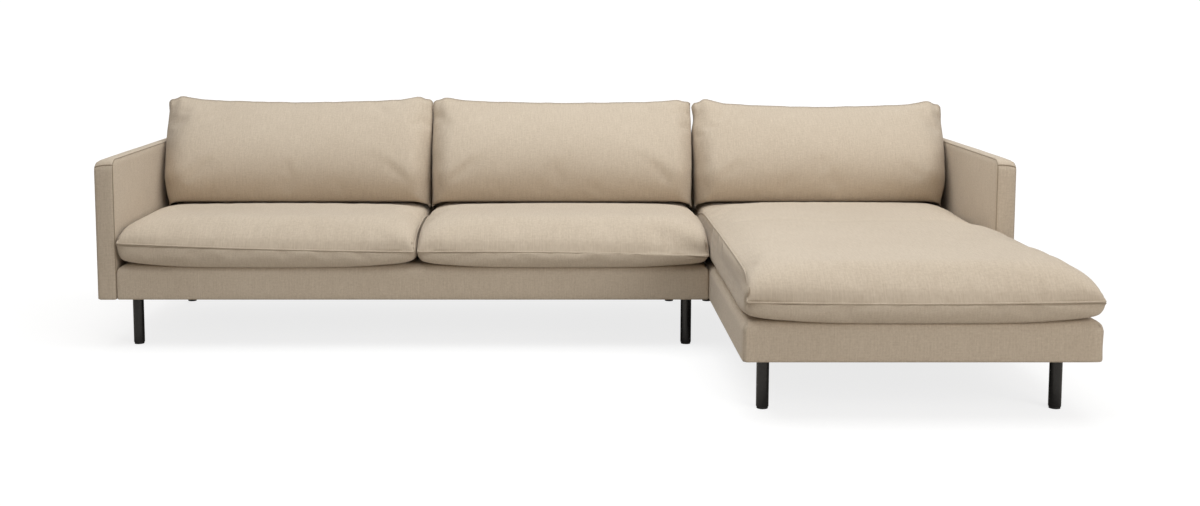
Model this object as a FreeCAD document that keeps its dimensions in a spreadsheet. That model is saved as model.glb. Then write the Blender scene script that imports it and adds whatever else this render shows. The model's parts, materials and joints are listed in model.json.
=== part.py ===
import FreeCAD, Part
import math
import os
import re

import Sketcher

# Sectional sofa with a chaise at one end. Seen from the front, +X is to the right, +Y to the rear and +Z up.
# The origin is on the floor, at the middle of the overall plan.

doc = FreeCAD.newDocument("SectionalSofa")
Vector = FreeCAD.Vector

# Driving dimensions in millimetres, each with what it measures
DIMENSIONS = {
    "overall_width": (3050, "outer face of the left arm to outer face of the right arm"),
    "sofa_depth": (880, "front of the sofa's base to the rear of its back"),
    "chaise_reach": (830, "how far the chaise base runs on in front of the sofa's base"),
    "chaise_width": (991, "side to side over the front of the chaise base"),
    "chaise_side_inset": (21, "outer face of the right arm to the side of the chaise base"),
    "section_gap": (0.6, "play between the sofa section and the chaise section"),
    "arm_width": (65, "thickness of an upholstered arm"),
    "arm_height": (639, "floor to the top of the arms and of the back"),
    "base_clearance": (168, "floor to the underside of the base"),
    "base_height": (116, "underside of the base to the platform that the cushions lie on"),
    "back_thickness": (120, "front to rear through the upholstered back"),
    "base_skin": (12, "wadding and cloth over the base and the back"),
    "arm_skin": (10, "wadding and cloth over an arm"),
    "base_edge_radius": (28, "rounding along the top edge of the base"),
    "base_corner_radius": (14, "rounding of the upright corners of the chaise base"),
    "arm_nose_radius": (24, "rounding at the top front of an arm"),
    "arm_edge_radius": (9, "rounding along the long edges of an arm"),
    "back_edge_radius": (18, "rounding along the top edges of the back"),
    "rail_thickness": (18, "plywood of the seat rails"),
    "webbing_thickness": (2, "one layer of webbing"),
    "back_straps": (3, "straps across each back"),
    "webbing_width": (60, "width of a strap"),
    "webbing_pitch": (122, "middle to middle of the straps that carry the load"),
    "tie_pitch": (190, "middle to middle of the straps woven across them"),
    "pad_thickness": (6, "felt between the webbing and the platform cloth"),
    "dust_cloth": (2, "black cloth under the base"),
    "block_height": (40, "glued block that takes a leg"),
    "block_reach": (45, "how far a block runs on past the middle of its leg"),
    "centre_rail_drop": (24, "room under the webbing over the sofa's centre rail"),
    "leg_diameter": (36, "outside of a tube leg"),
    "leg_end_inset": (44, "end of the seat base to the middle of the leg by an arm"),
    "leg_front_inset": (88, "front of the sofa's base to the middle of a front leg"),
    "leg_rear_inset": (93, "rear of the back to the middle of a rear leg"),
    "leg_seam_inset": (68, "side of the sofa's base at the join to the middle of a leg"),
    "chaise_leg_inset": (78, "side of the chaise base to the middle of a leg"),
    "chaise_leg_front": (144, "front of the chaise base to the middle of a front leg"),
    "leg_plate": (60, "side of the square plate at the top of a leg"),
    "fit_clearance": (0.2, "all round play of plates and bolts in their openings"),
    "glide_diameter": (32.4, "foot under a leg"),
    "glide_height": (6, "height of that foot"),
    "bolt_diameter": (8, "bolts that hold the arms"),
    "bolt_head_diameter": (15, "hexagon head of such a bolt, over its corners"),
    "bolt_head": (5, "height of that head"),
    "bolt_grip": (32, "how far an arm bolt reaches into the arm frame"),
    "bolt_drop": (58, "platform to the middle of a bolt"),
    "arm_bolt_front": (215, "front of the sofa's base to the front arm bolt"),
    "arm_bolt_rear": (235, "rear of the back to the rear arm bolt"),
    "post_width": (32, "upright of a back frame, side to side"),
    "back_rail_height": (60, "lower rail of a back frame"),
    "back_rail_lift": (14, "platform to the lower rail of a back frame"),
    "back_panel": (3, "board at the rear of a back frame"),
    "window_height": (235, "opening in an arm frame"),
    "window_lift": (36, "platform to the sill of that opening"),
    "window_border": (70, "wood round the openings in an arm frame"),
    "connector_plate": (3, "steel of a connector"),
    "connector_width": (60, "front to rear over a connector"),
    "connector_arm": (52, "how far a connector lies under its own section"),
    "connector_front": (165, "front of the sofa's base to the first connector"),
    "connector_spacing": (430, "first connector to the second"),
    "pin_diameter": (10, "locating pin of a connector"),
    "pin_height": (22, "locating pin above its plate"),
    "pin_play": (0.5, "all round play of the pin in its socket"),
    "seat_cushion_height": (146, "thickness of a seat cushion at its crown"),
    "cushion_overhang": (20, "how far the seat cushions stand out over the base"),
    "cushion_play": (3, "room between cushions side by side"),
    "arm_play": (5, "room between a cushion and an arm"),
    "rest_play": (0.3, "a cushion over what it rests on or leans against"),
    "welt_height": (55, "bottom of a seat cushion to its welted seam"),
    "cushion_tuck": (22, "how far a cushion's lower edge tucks in under its welt"),
    "shoulder_drop": (16, "crown of a seat cushion to its shoulder"),
    "shoulder_inset": (85, "welt to the shoulder"),
    "seat_bulge": (14, "swell of a cushion's face over its welt"),
    "seat_crown": (9, "swell of a cushion's top between its shoulders"),
    "core_margin": (75, "cloth and fibre round a foam core at the sides"),
    "core_skin": (20, "cloth and fibre above and below a foam core"),
    "back_cushion_height": (372, "seat to the ears of a back cushion"),
    "back_cushion_depth": (300, "front to rear through a back cushion"),
    "back_cushion_lean": (232, "front of a back cushion to its top seam, level"),
    "back_cushion_toe": (26, "front of a back cushion to its lower front edge, level"),
    "toe_height": (52, "bottom of a back cushion to where its front is furthest forward"),
    "toe_bulge": (7, "swell of a back cushion under that height"),
    "back_belly": (36, "swell of a back cushion's front above that height"),
    "back_shoulder": (20, "swell of a back cushion's rear over the back"),
    "ear_rise": (20, "ears of a back cushion over the middle of its top seam"),
    "corner_pinch": (24, "how far the lower corners of a back cushion draw in"),
    "corner_rise": (78, "how high up the side that reaches"),
    "back_core_height": (210, "foam core of a back cushion"),
    "back_core_depth": (110, "foam core of a back cushion"),
    "seat_divide": (461, "middle of the sofa to the join of the two seat cushions, to the left"),
}

sheet = doc.addObject("Spreadsheet::Sheet", "Dims")
for row, (alias, (size, meaning)) in enumerate(DIMENSIONS.items(), 1):
    sheet.set(f"A{row}", alias)
    sheet.set(f"B{row}", str(size))
    sheet.setAlias(f"B{row}", alias)
    sheet.set(f"C{row}", meaning)
doc.recompute()

# Places worked out from the driving dimensions, as expressions
REAR_Y = "((sofa_depth + chaise_reach + cushion_overhang) / 2)"
FRONT_Y = f"({REAR_Y} - sofa_depth)"
CHAISE_FRONT_Y = f"({FRONT_Y} - chaise_reach)"
BACK_Y = f"({REAR_Y} - back_thickness)"
LEFT_X = "(-overall_width / 2)"
LEFT_END_X = "(arm_width - overall_width / 2)"
RIGHT_END_X = "(overall_width / 2 - arm_width)"
CHAISE_SIDE_X = "(overall_width / 2 - chaise_side_inset)"
JOIN_X = f"({CHAISE_SIDE_X} - chaise_width)"
SOFA_SIDE_X = f"({JOIN_X} - section_gap)"
PLATFORM_Z = "(base_clearance + base_height)"
RAIL_BOTTOM_Z = "(base_clearance + dust_cloth)"
PAD_TOP_Z = f"({PLATFORM_Z} - base_skin)"
WEBBING_TOP_Z = f"({PAD_TOP_Z} - pad_thickness)"
RAIL_TOP_Z = f"({WEBBING_TOP_Z} - 2 * webbing_thickness)"
BACK_INSIDE_Z = "(arm_height - base_skin)"
BOLT_Z = f"({PLATFORM_Z} - bolt_drop)"
SEAT_TOP_Z = f"({PLATFORM_Z} + rest_play + seat_cushion_height)"

# Inside faces of the base and back covers, where the frames begin
SOFA_LEFT_X = f"({LEFT_END_X} + base_skin)"
SOFA_RIGHT_X = f"({SOFA_SIDE_X} - base_skin)"
CHAISE_LEFT_X = f"({JOIN_X} + base_skin)"
CHAISE_NOSE_X = f"({CHAISE_SIDE_X} - base_skin)"
CHAISE_RIGHT_X = f"({RIGHT_END_X} - base_skin)"
FRAME_FRONT_Y = f"({FRONT_Y} + base_skin)"
FRAME_REAR_Y = f"({REAR_Y} - base_skin)"
NOSE_FRONT_Y = f"({CHAISE_FRONT_Y} + base_skin)"
STEP_Y = f"({FRONT_Y} - base_skin)"
REAR_RAIL_Y = f"({FRAME_REAR_Y} - rail_thickness)"
SILL_Y = f"({BACK_Y} - rail_thickness)"

NODES = []


def bound(text):
    """The expression with each driving dimension read from the sheet."""
    return re.sub(r"[a-z_]+", lambda word: f"Dims.{word[0]}" if word[0] in DIMENSIONS else word[0], text)


def number(text):
    """The present value of an expression."""
    return float(sheet.evalExpression(bound(text)))


def bind(thing, **properties):
    """Tie properties of an object to expressions."""
    for name, text in properties.items():
        thing.setExpression(name, bound(text))
    return thing


def place(thing, x, y, z):
    """Put an object's own origin at a place given by three expressions."""
    for axis, text in zip("xyz", (x, y, z)):
        thing.setExpression(f"Placement.Base.{axis}", bound(text))
    return thing


def node(name, thing):
    """Register an object as a sub-part that has a file of its own."""
    thing.Label = name
    NODES.append(thing)
    return thing


def around(middle, half):
    """The two faces that lie half a width to either side of a middle."""
    return (f"{middle} - {half}", f"{middle} + {half}")


def board(name, x, y, z):
    """A square-edged board between three pairs of faces."""
    thing = doc.addObject("Part::Box", name)
    bind(thing, Length=f"{x[1]} - ({x[0]})", Width=f"{y[1]} - ({y[0]})", Height=f"{z[1]} - ({z[0]})")
    return place(thing, x[0], y[0], z[0])


TURNS = {
    "x": FreeCAD.Rotation(Vector(0, 1, 0), 90),
    "z": FreeCAD.Rotation(),
    "-x": FreeCAD.Rotation(Vector(0, 1, 0), -90),
}


def rod(name, along, start, radius, length):
    """A round bar from a starting point along one of the axes."""
    thing = doc.addObject("Part::Cylinder", name)
    thing.Placement = FreeCAD.Placement(Vector(), TURNS[along])
    bind(thing, Radius=radius, Height=length)
    return place(thing, *start)


def group(name, members):
    """Separate solids that belong together."""
    thing = doc.addObject("Part::Compound", name)
    thing.Links = members
    return thing


def joined(name, members):
    """Pieces glued or welded into one."""
    thing = doc.addObject("Part::MultiFuse", name)
    thing.Shapes = members
    return thing


def drilled(name, blank, tool):
    """A blank with a tool's shape taken out of it."""
    thing = doc.addObject("Part::Cut", name)
    thing.Base = blank
    thing.Tool = tool
    return thing


def body_at(name, x, y, z):
    """An empty body whose own origin lies at a place."""
    return place(doc.addObject("PartDesign::Body", name), x, y, z)


def sketch_on(body, role):
    """A sketch on one of the body's own origin planes."""
    plane = next(item for item in body.Origin.OriginFeatures if item.Role == role)
    sketch = body.newObject("Sketcher::SketchObject", f"{body.Name}_sketch")
    sketch.AttachmentSupport = [(plane, "")]
    sketch.MapMode = "FlatFace"
    return sketch


def outline(sketch, points, swells=None):
    """A closed outline through points, each a pair of expressions. A side named in swells is an arc.

    Sides count from the first point. The arc's rise over the middle of its side is the expression given,
    to the right of the way round, so a counter-clockwise outline swells outwards.
    """
    swells = swells or {}
    corners = [Vector(number(u), number(v), 0) for u, v in points]
    count = len(corners)
    for side, corner in enumerate(corners):
        following = corners[(side + 1) % count]
        if side in swells:
            run = following - corner
            right = Vector(run.y, -run.x, 0).normalize()
            crest = (corner + following) / 2 + right * number(swells[side])
            sketch.addGeometry(Part.Arc(corner, crest, following))
        else:
            sketch.addGeometry(Part.LineSegment(corner, following))

    def end_at(side, corner):
        """Which end of a side lies at a corner, as a sketch counts them."""
        start = sketch.Geometry[side].StartPoint
        finish = sketch.Geometry[side].EndPoint
        return 1 if start.distanceToPoint(corner) < finish.distanceToPoint(corner) else 2

    for side, (u, v) in enumerate(points):
        corner = corners[side]
        here = end_at(side, corner)
        before = (side - 1) % count
        sketch.addConstraint(Sketcher.Constraint("Coincident", before, end_at(before, corner), side, here))
        for kind, text, value, axis in (("DistanceX", u, corner.x, -2), ("DistanceY", v, corner.y, -1)):
            if text == "0":
                sketch.addConstraint(Sketcher.Constraint("PointOnObject", side, here, axis))
            else:
                index = sketch.addConstraint(Sketcher.Constraint(kind, -1, 1, side, here, value))
                sketch.setExpression(f"Constraints[{index}]", bound(text))
        if side in swells:
            ahead_u, ahead_v = points[(side + 1) % count]
            rise = swells[side]
            chord = f"(pow({ahead_u} - ({u}); 2) + pow({ahead_v} - ({v}); 2))"
            index = sketch.addConstraint(Sketcher.Constraint("Radius", side, sketch.Geometry[side].Radius))
            sketch.setExpression(f"Constraints[{index}]", bound(f"abs({chord} / (8 * {rise}) + {rise} / 2)"))
    return sketch


def rectangle(u, v):
    """Corners of a rectangle between two pairs of expressions, counter-clockwise."""
    return [(u[0], v[0]), (u[1], v[0]), (u[1], v[1]), (u[0], v[1])]


# The way that each origin plane's pad has to be turned to run along the positive axis
BACKWARDS = {"XY_Plane": False, "XZ_Plane": True, "YZ_Plane": False}


def pad(body, role, points, length, swells=None):
    """A block of the outline, run out along the positive axis."""
    sketch = outline(sketch_on(body, role), points, swells)
    feature = body.newObject("PartDesign::Pad", f"{body.Name}_pad")
    feature.Profile = sketch
    feature.Reversed = BACKWARDS[role]
    bind(feature, Length=length)
    sketch.Visibility = False
    return feature


def pocket(body, role, points, depth):
    """A recess of the outline, cut along the positive axis from the origin plane."""
    sketch = outline(sketch_on(body, role), points)
    feature = body.newObject("PartDesign::Pocket", f"{body.Name}_pocket")
    feature.Profile = sketch
    feature.Reversed = not BACKWARDS[role]
    bind(feature, Length=depth)
    return feature


def soften(body, chosen, radius):
    """Round the edges of the body that a test on their bounding boxes picks out."""
    doc.recompute()
    last = body.Tip
    edges = [f"Edge{index}" for index, edge in enumerate(last.Shape.Edges, 1) if chosen(edge.BoundBox)]
    feature = body.newObject("PartDesign::Fillet", f"{body.Name}_fillet")
    feature.Base = (last, edges)
    bind(feature, Radius=radius)
    return feature


NEAR = 0.01


def level_at(box, z):
    """True for an edge that lies at one height."""
    return abs(box.ZMin - z) < NEAR and abs(box.ZMax - z) < NEAR


def upright(box):
    """True for an edge that runs straight up."""
    return box.XLength < NEAR and box.YLength < NEAR and box.ZLength > NEAR


# Legs: a black tube under a square plate that lies in the dust cloth, with a plastic glide as its foot

SOFA_LEGS = {
    "front_left": (f"({LEFT_END_X} + leg_end_inset)", f"({FRONT_Y} + leg_front_inset)"),
    "front_right": (f"({SOFA_SIDE_X} - leg_seam_inset)", f"({FRONT_Y} + leg_front_inset)"),
    "rear_left": (f"({LEFT_END_X} + leg_end_inset)", f"({REAR_Y} - leg_rear_inset)"),
    "rear_right": (f"({SOFA_SIDE_X} - leg_seam_inset)", f"({REAR_Y} - leg_rear_inset)"),
}
CHAISE_LEGS = {
    "front_left": (f"({JOIN_X} + chaise_leg_inset)", f"({CHAISE_FRONT_Y} + chaise_leg_front)"),
    "front_right": (f"({CHAISE_SIDE_X} - chaise_leg_inset)", f"({CHAISE_FRONT_Y} + chaise_leg_front)"),
    "rear_left": (f"({JOIN_X} + chaise_leg_inset)", f"({REAR_Y} - leg_rear_inset)"),
    "rear_right": (f"({RIGHT_END_X} - leg_end_inset)", f"({REAR_Y} - leg_rear_inset)"),
}
BLOCK_TOP_Z = f"({RAIL_BOTTOM_Z} + block_height)"


def leg(name, x, y):
    """Tube leg with its top plate, which is held to the block over it."""
    tube = rod(f"{name}_tube", "z", (x, y, "glide_height"), "leg_diameter / 2", "base_clearance - glide_height")
    half = "leg_plate / 2"
    plate = board(f"{name}_plate", around(x, half), around(y, half), ("base_clearance", RAIL_BOTTOM_Z))
    return joined(f"{name}_welded", [tube, plate])


def leg_set(section, legs, inner_x, rear_y, front_y):
    """The legs of one section, with their glides and glued blocks. Returns the openings for their plates."""
    glides = []
    blocks = []
    openings = []
    half = "(leg_plate / 2 + fit_clearance)"
    for corner, (x, y) in legs.items():
        name = f"{section}_{corner}"
        node(f"{name}_leg", leg(name, x, y))
        glides.append(rod(f"{name}_glide", "z", (x, y, "0"), "glide_diameter / 2", "glide_height"))
        openings.append(board(f"{name}_opening", around(x, half), around(y, half),
                              ("base_clearance", RAIL_BOTTOM_Z)))
        if corner.endswith("left"):
            side = (inner_x[corner], f"{x} + block_reach")
        else:
            side = (f"{x} - block_reach", inner_x[corner])
        run = (front_y, f"{y} + block_reach") if corner.startswith("front") else (BACK_Y, rear_y)
        blocks.append(board(f"{name}_block", side, run, (RAIL_BOTTOM_Z, BLOCK_TOP_Z)))
    node(f"{section}_leg_glides", group(f"{section}_glide_set", glides))
    node(f"{section}_corner_blocks", group(f"{section}_block_set", blocks))
    return openings


sofa_openings = leg_set(
    "sofa",
    SOFA_LEGS,
    {corner: f"({SOFA_LEFT_X} + rail_thickness)" if "left" in corner else f"({SOFA_RIGHT_X} - rail_thickness)"
     for corner in SOFA_LEGS},
    REAR_RAIL_Y,
    f"({FRAME_FRONT_Y} + rail_thickness)",
)
chaise_openings = leg_set(
    "chaise",
    CHAISE_LEGS,
    {
        "front_left": f"({CHAISE_LEFT_X} + rail_thickness)",
        "rear_left": f"({CHAISE_LEFT_X} + rail_thickness)",
        "front_right": f"({CHAISE_NOSE_X} - rail_thickness)",
        "rear_right": f"({CHAISE_RIGHT_X} - rail_thickness)",
    },
    REAR_RAIL_Y,
    f"({NOSE_FRONT_Y} + rail_thickness)",
)

# Connectors: two cranked steel plates under the sofa's right rail, each with a pin that stands up into
# a socket plate and a hole in the rail of the chaise, which lifts off them

CONNECTOR_Y = [f"({FRONT_Y} + connector_front)", f"({FRONT_Y} + connector_front + connector_spacing)"]
PIN_X = f"({CHAISE_LEFT_X} + rail_thickness / 2)"
PLATE_Z = "(base_clearance - connector_plate)"
LOWER_PLATE_Z = f"({PLATE_Z} - connector_plate - rest_play)"


def connector_plate(name, y):
    """Cranked plate: high under the sofa, low under the chaise, with the pin welded on."""
    start = f"({SOFA_SIDE_X} - connector_arm)"
    body = body_at(f"{name}_plate", start, f"{y} - connector_width / 2", LOWER_PLATE_Z)
    drop = "(connector_plate + rest_play)"
    reach = f"({PIN_X} - {start} + 2 * pin_diameter)"
    crank = "(connector_arm - connector_plate)"
    pad(body, "XZ_Plane", [
        ("0", drop),
        (f"{crank} - connector_plate", drop),
        (f"{crank}", "0"),
        (reach, "0"),
        (reach, "connector_plate"),
        (f"{crank} + connector_plate", "connector_plate"),
        (f"{crank}", f"{drop} + connector_plate"),
        ("0", f"{drop} + connector_plate"),
    ], "connector_width")
    foot = (PIN_X, y, f"{LOWER_PLATE_Z} + connector_plate")
    pin = rod(f"{name}_pin", "z", foot, "pin_diameter / 2", "pin_height")
    return joined(f"{name}_welded", [body, pin])


plates = []
sockets = []
pin_holes = []
for index, y in enumerate(CONNECTOR_Y, 1):
    plates.append(connector_plate(f"connector_{index}", y))
    pin_holes.append(rod(f"pin_hole_{index}", "z", (PIN_X, y, LOWER_PLATE_Z),
                         "pin_diameter / 2 + pin_play", "pin_height + 2 * connector_plate"))
    sockets.append(board(f"socket_{index}", (f"{JOIN_X} + section_gap", f"{PIN_X} + 2 * pin_diameter"),
                         around(y, "connector_width / 2"),
                         (PLATE_Z, "base_clearance")))

pin_tool = group("pin_tool", pin_holes)
node("connector_plates", group("connector_plate_set", plates))
node("connector_sockets", drilled("connector_socket_set", group("socket_blanks", sockets), pin_tool))

# Seat frames: plywood rails on edge, glued round the corner blocks

RAIL_Z = (RAIL_BOTTOM_Z, RAIL_TOP_Z)
SOFA_RAIL_RIGHT_X = f"({SOFA_RIGHT_X} - rail_thickness)"
SOFA_RAIL_LEFT_X = f"({SOFA_LEFT_X} + rail_thickness)"
CHAISE_RAIL_LEFT_X = f"({CHAISE_LEFT_X} + rail_thickness)"
CHAISE_RAIL_RIGHT_X = f"({CHAISE_RIGHT_X} - rail_thickness)"
NOSE_RAIL_X = f"({CHAISE_NOSE_X} - rail_thickness)"
FRONT_RAIL_Y = f"({FRAME_FRONT_Y} + rail_thickness)"
STEP_RAIL_Y = f"({STEP_Y} - rail_thickness)"
SOFA_MIDDLE_X = f"(({SOFA_LEFT_X} + {SOFA_RIGHT_X}) / 2)"

ARM_BOLT_Y = [f"({FRONT_Y} + arm_bolt_front)", f"({REAR_Y} - arm_bolt_rear)"]


def bolt(name, along, seat, reach):
    """Hexagon bolt whose head bears on its seat and whose shank runs on along an axis."""
    shank = rod(f"{name}_shank", along, seat, "bolt_diameter / 2", reach)
    head = doc.addObject("Part::Prism", f"{name}_head")
    head.Polygon = 6
    head.Placement = FreeCAD.Placement(Vector(), TURNS[along])
    bind(head, Circumradius="bolt_head_diameter / 2", Height="bolt_head")
    sign = "+" if along == "-x" else "-"
    place(head, f"{seat[0]} {sign} bolt_head", seat[1], seat[2])
    return joined(name, [shank, head])


def bolt_hole(name, along, start, reach):
    """Clearance hole for such a bolt."""
    return rod(name, along, start, "bolt_diameter / 2 + fit_clearance", reach)


def slit(name, x, y):
    """Square opening cut through wadding and cloth where an arm bolt passes."""
    return board(name, x, around(y, "bolt_diameter"), around(BOLT_Z, "bolt_diameter"))


ARM_BOLT_REACH = "(rail_thickness + base_skin + arm_skin + bolt_grip)"
left_arm_bolts = []
left_arm_holes = []
left_arm_slits = []
right_arm_bolts = []
right_arm_holes = []
right_arm_slits = []
for index, y in enumerate(ARM_BOLT_Y, 1):
    left_seat = (SOFA_RAIL_LEFT_X, y, BOLT_Z)
    right_seat = (CHAISE_RAIL_RIGHT_X, y, BOLT_Z)
    left_arm_bolts.append(bolt(f"left_arm_bolt_{index}", "-x", left_seat, ARM_BOLT_REACH))
    left_arm_holes.append(bolt_hole(f"left_arm_hole_{index}", "-x", left_seat, ARM_BOLT_REACH))
    left_reach = (f"{SOFA_RAIL_LEFT_X} - {ARM_BOLT_REACH}", SOFA_RAIL_LEFT_X)
    left_arm_slits.append(slit(f"left_arm_slit_{index}", left_reach, y))
    right_arm_bolts.append(bolt(f"right_arm_bolt_{index}", "x", right_seat, ARM_BOLT_REACH))
    right_arm_holes.append(bolt_hole(f"right_arm_hole_{index}", "x", right_seat, ARM_BOLT_REACH))
    right_reach = (CHAISE_RAIL_RIGHT_X, f"{CHAISE_RAIL_RIGHT_X} + {ARM_BOLT_REACH}")
    right_arm_slits.append(slit(f"right_arm_slit_{index}", right_reach, y))
left_arm_tool = group("left_arm_tool", left_arm_holes)
left_slit_tool = group("left_slit_tool", left_arm_slits)
right_arm_tool = group("right_arm_tool", right_arm_holes)
right_slit_tool = group("right_slit_tool", right_arm_slits)

FULL_DEPTH = (FRAME_FRONT_Y, FRAME_REAR_Y)
sofa_left_rail = board("sofa_left_rail", (SOFA_LEFT_X, SOFA_RAIL_LEFT_X), FULL_DEPTH, RAIL_Z)
sofa_right_rail = board("sofa_right_rail", (SOFA_RAIL_RIGHT_X, SOFA_RIGHT_X), FULL_DEPTH, RAIL_Z)
centre_rail_x = around(SOFA_MIDDLE_X, "rail_thickness / 2")
node("sofa_front_rail", board("sofa_front_board", (SOFA_RAIL_LEFT_X, SOFA_RAIL_RIGHT_X),
                              (FRAME_FRONT_Y, FRONT_RAIL_Y), RAIL_Z))
node("sofa_end_rails", group("sofa_end_rail_set", [
    drilled("sofa_left_drilled", sofa_left_rail, left_arm_tool),
    sofa_right_rail,
]))
node("sofa_cross_rails", group("sofa_cross_rail_set", [
    board("sofa_sill_rail", (SOFA_RAIL_LEFT_X, SOFA_RAIL_RIGHT_X), (SILL_Y, BACK_Y), RAIL_Z),
    board("sofa_centre_rail", centre_rail_x, (FRONT_RAIL_Y, SILL_Y),
          (RAIL_BOTTOM_Z, f"{RAIL_TOP_Z} - centre_rail_drop")),
]))

node("chaise_front_rail", board("chaise_front_board", (CHAISE_RAIL_LEFT_X, NOSE_RAIL_X),
                                (NOSE_FRONT_Y, f"{NOSE_FRONT_Y} + rail_thickness"), RAIL_Z))
chaise_left_rail = board("chaise_left_rail", (CHAISE_LEFT_X, CHAISE_RAIL_LEFT_X),
                         (NOSE_FRONT_Y, FRAME_REAR_Y), RAIL_Z)
chaise_arm_rail = board("chaise_arm_rail", (CHAISE_RAIL_RIGHT_X, CHAISE_RIGHT_X),
                        (STEP_Y, FRAME_REAR_Y), RAIL_Z)
node("chaise_side_rails", group("chaise_side_rail_set", [
    drilled("chaise_left_drilled", chaise_left_rail, pin_tool),
    board("chaise_nose_rail", (NOSE_RAIL_X, CHAISE_NOSE_X), (NOSE_FRONT_Y, STEP_Y), RAIL_Z),
    drilled("chaise_arm_drilled", chaise_arm_rail, right_arm_tool),
]))
node("chaise_cross_rails", group("chaise_cross_rail_set", [
    board("chaise_step_rail", (CHAISE_RAIL_LEFT_X, NOSE_RAIL_X), (STEP_RAIL_Y, STEP_Y), RAIL_Z),
    board("chaise_sill_rail", (CHAISE_RAIL_LEFT_X, CHAISE_RAIL_RIGHT_X), (SILL_Y, BACK_Y), RAIL_Z),
]))

# Seat platforms: woven straps, a felt pad over them and black dust cloth under the frame


def spots(start, finish, pitch):
    """Middles of evenly spaced straps across a width, close to a given pitch."""
    count = max(1, math.floor((finish - start) / pitch))
    step = (finish - start) / count
    return [start + step * (index + 0.5) for index in range(count)]


def strap(start, finish, middle, crossings, lifted, reach):
    """One strap along +X. It lies a layer higher over every second strap that it crosses."""
    layer = number("webbing_thickness")
    width = number("webbing_width")
    heights = [layer if (index + lifted) % 2 else 0.0 for index in range(len(crossings))]
    line = [Vector(start, 0, heights[0])]
    for index in range(len(crossings) - 1):
        ramp_start = crossings[index] + width / 2 + reach
        ramp_end = crossings[index + 1] - width / 2 - reach
        line.append(Vector(ramp_start, 0, heights[index]))
        line.append(Vector(ramp_end, 0, heights[index + 1]))
    line.append(Vector(finish, 0, heights[-1]))
    upper = [point + Vector(0, 0, layer) for point in reversed(line)]
    face = Part.Face(Part.makePolygon(line + upper + [line[0]]))
    ribbon = face.extrude(Vector(0, width, 0))
    ribbon.translate(Vector(0, middle - width / 2, 0))
    return ribbon


def woven(name, carriers, ties, carrier_run, tie_run):
    """Straps of one platform: carriers along Y at each x in carriers, ties along X at each y in ties.

    A run gives the two ends of a strap at that place.
    """
    ease = number("webbing_width") / 8
    straps = []
    for index, x in enumerate(carriers):
        start, finish = carrier_run(x)
        crossed = [y for y in ties if start < y < finish]
        ribbon = strap(start, finish, -x, crossed, index % 2, ease)
        ribbon.rotate(Vector(), Vector(0, 0, 1), 90)
        straps.append(ribbon)
    for index, y in enumerate(ties):
        start, finish = tie_run(y)
        crossed = [x for x in carriers if start < x < finish]
        straps.append(strap(start, finish, y, crossed, (index + 1) % 2, ease))
    thing = doc.addObject("Part::Feature", name)
    thing.Shape = Part.makeCompound(straps)
    return thing


sofa_span = (number(SOFA_LEFT_X), number(SOFA_RIGHT_X))
sofa_carriers = spots(*sofa_span, number("webbing_pitch"))
sofa_ties = spots(number(FRAME_FRONT_Y), number(BACK_Y), number("tie_pitch"))
sofa_webbing = woven(
    "sofa_webbing", sofa_carriers, sofa_ties,
    lambda x: (number(FRAME_FRONT_Y), number(BACK_Y)), lambda y: sofa_span,
)
node("sofa_seat_webbing", place(sofa_webbing, "0", "0", RAIL_TOP_Z))


def chaise_right(y):
    """Inner right face of the chaise cover, which is wider in front of the arm."""
    return number(CHAISE_NOSE_X) if y < number(STEP_Y) else number(CHAISE_RIGHT_X)


def clear_of_step(places):
    """Strap places moved off the step in the side of the chaise."""
    room = number("webbing_width") / 2
    step = number(STEP_Y)
    return [step - room if step - room < spot < step + room else spot for spot in places]


chaise_span = (number(CHAISE_LEFT_X), number(CHAISE_RIGHT_X))
chaise_ties = spots(*chaise_span, number("tie_pitch"))
chaise_carriers = clear_of_step(spots(number(NOSE_FRONT_Y), number(BACK_Y), number("webbing_pitch")))
chaise_webbing = woven(
    "chaise_webbing", chaise_ties, chaise_carriers,
    lambda x: (number(NOSE_FRONT_Y), number(BACK_Y)), lambda y: (number(CHAISE_LEFT_X), chaise_right(y)),
)
node("chaise_seat_webbing", place(chaise_webbing, "0", "0", RAIL_TOP_Z))

node("sofa_deck_pad", board("sofa_felt", (SOFA_LEFT_X, SOFA_RIGHT_X), (FRAME_FRONT_Y, BACK_Y),
                            (WEBBING_TOP_Z, PAD_TOP_Z)))


def chaise_plan(margin, depth):
    """Plan of the chaise base from its front left corner, drawn in by a margin, as far as a depth."""
    nose = f"(chaise_width - {margin})"
    step = f"(chaise_reach - {margin})"
    narrow = f"(chaise_width - (arm_width - chaise_side_inset) - {margin})"
    return [(margin, margin), (nose, margin), (nose, step), (narrow, step), (narrow, depth), (margin, depth)]


def chaise_sheet(name, depth, z, thickness):
    """Flat sheet that fills the inside of the chaise cover."""
    body = body_at(name, JOIN_X, CHAISE_FRONT_Y, z)
    pad(body, "XY_Plane", chaise_plan("base_skin", depth), thickness)
    return body


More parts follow.
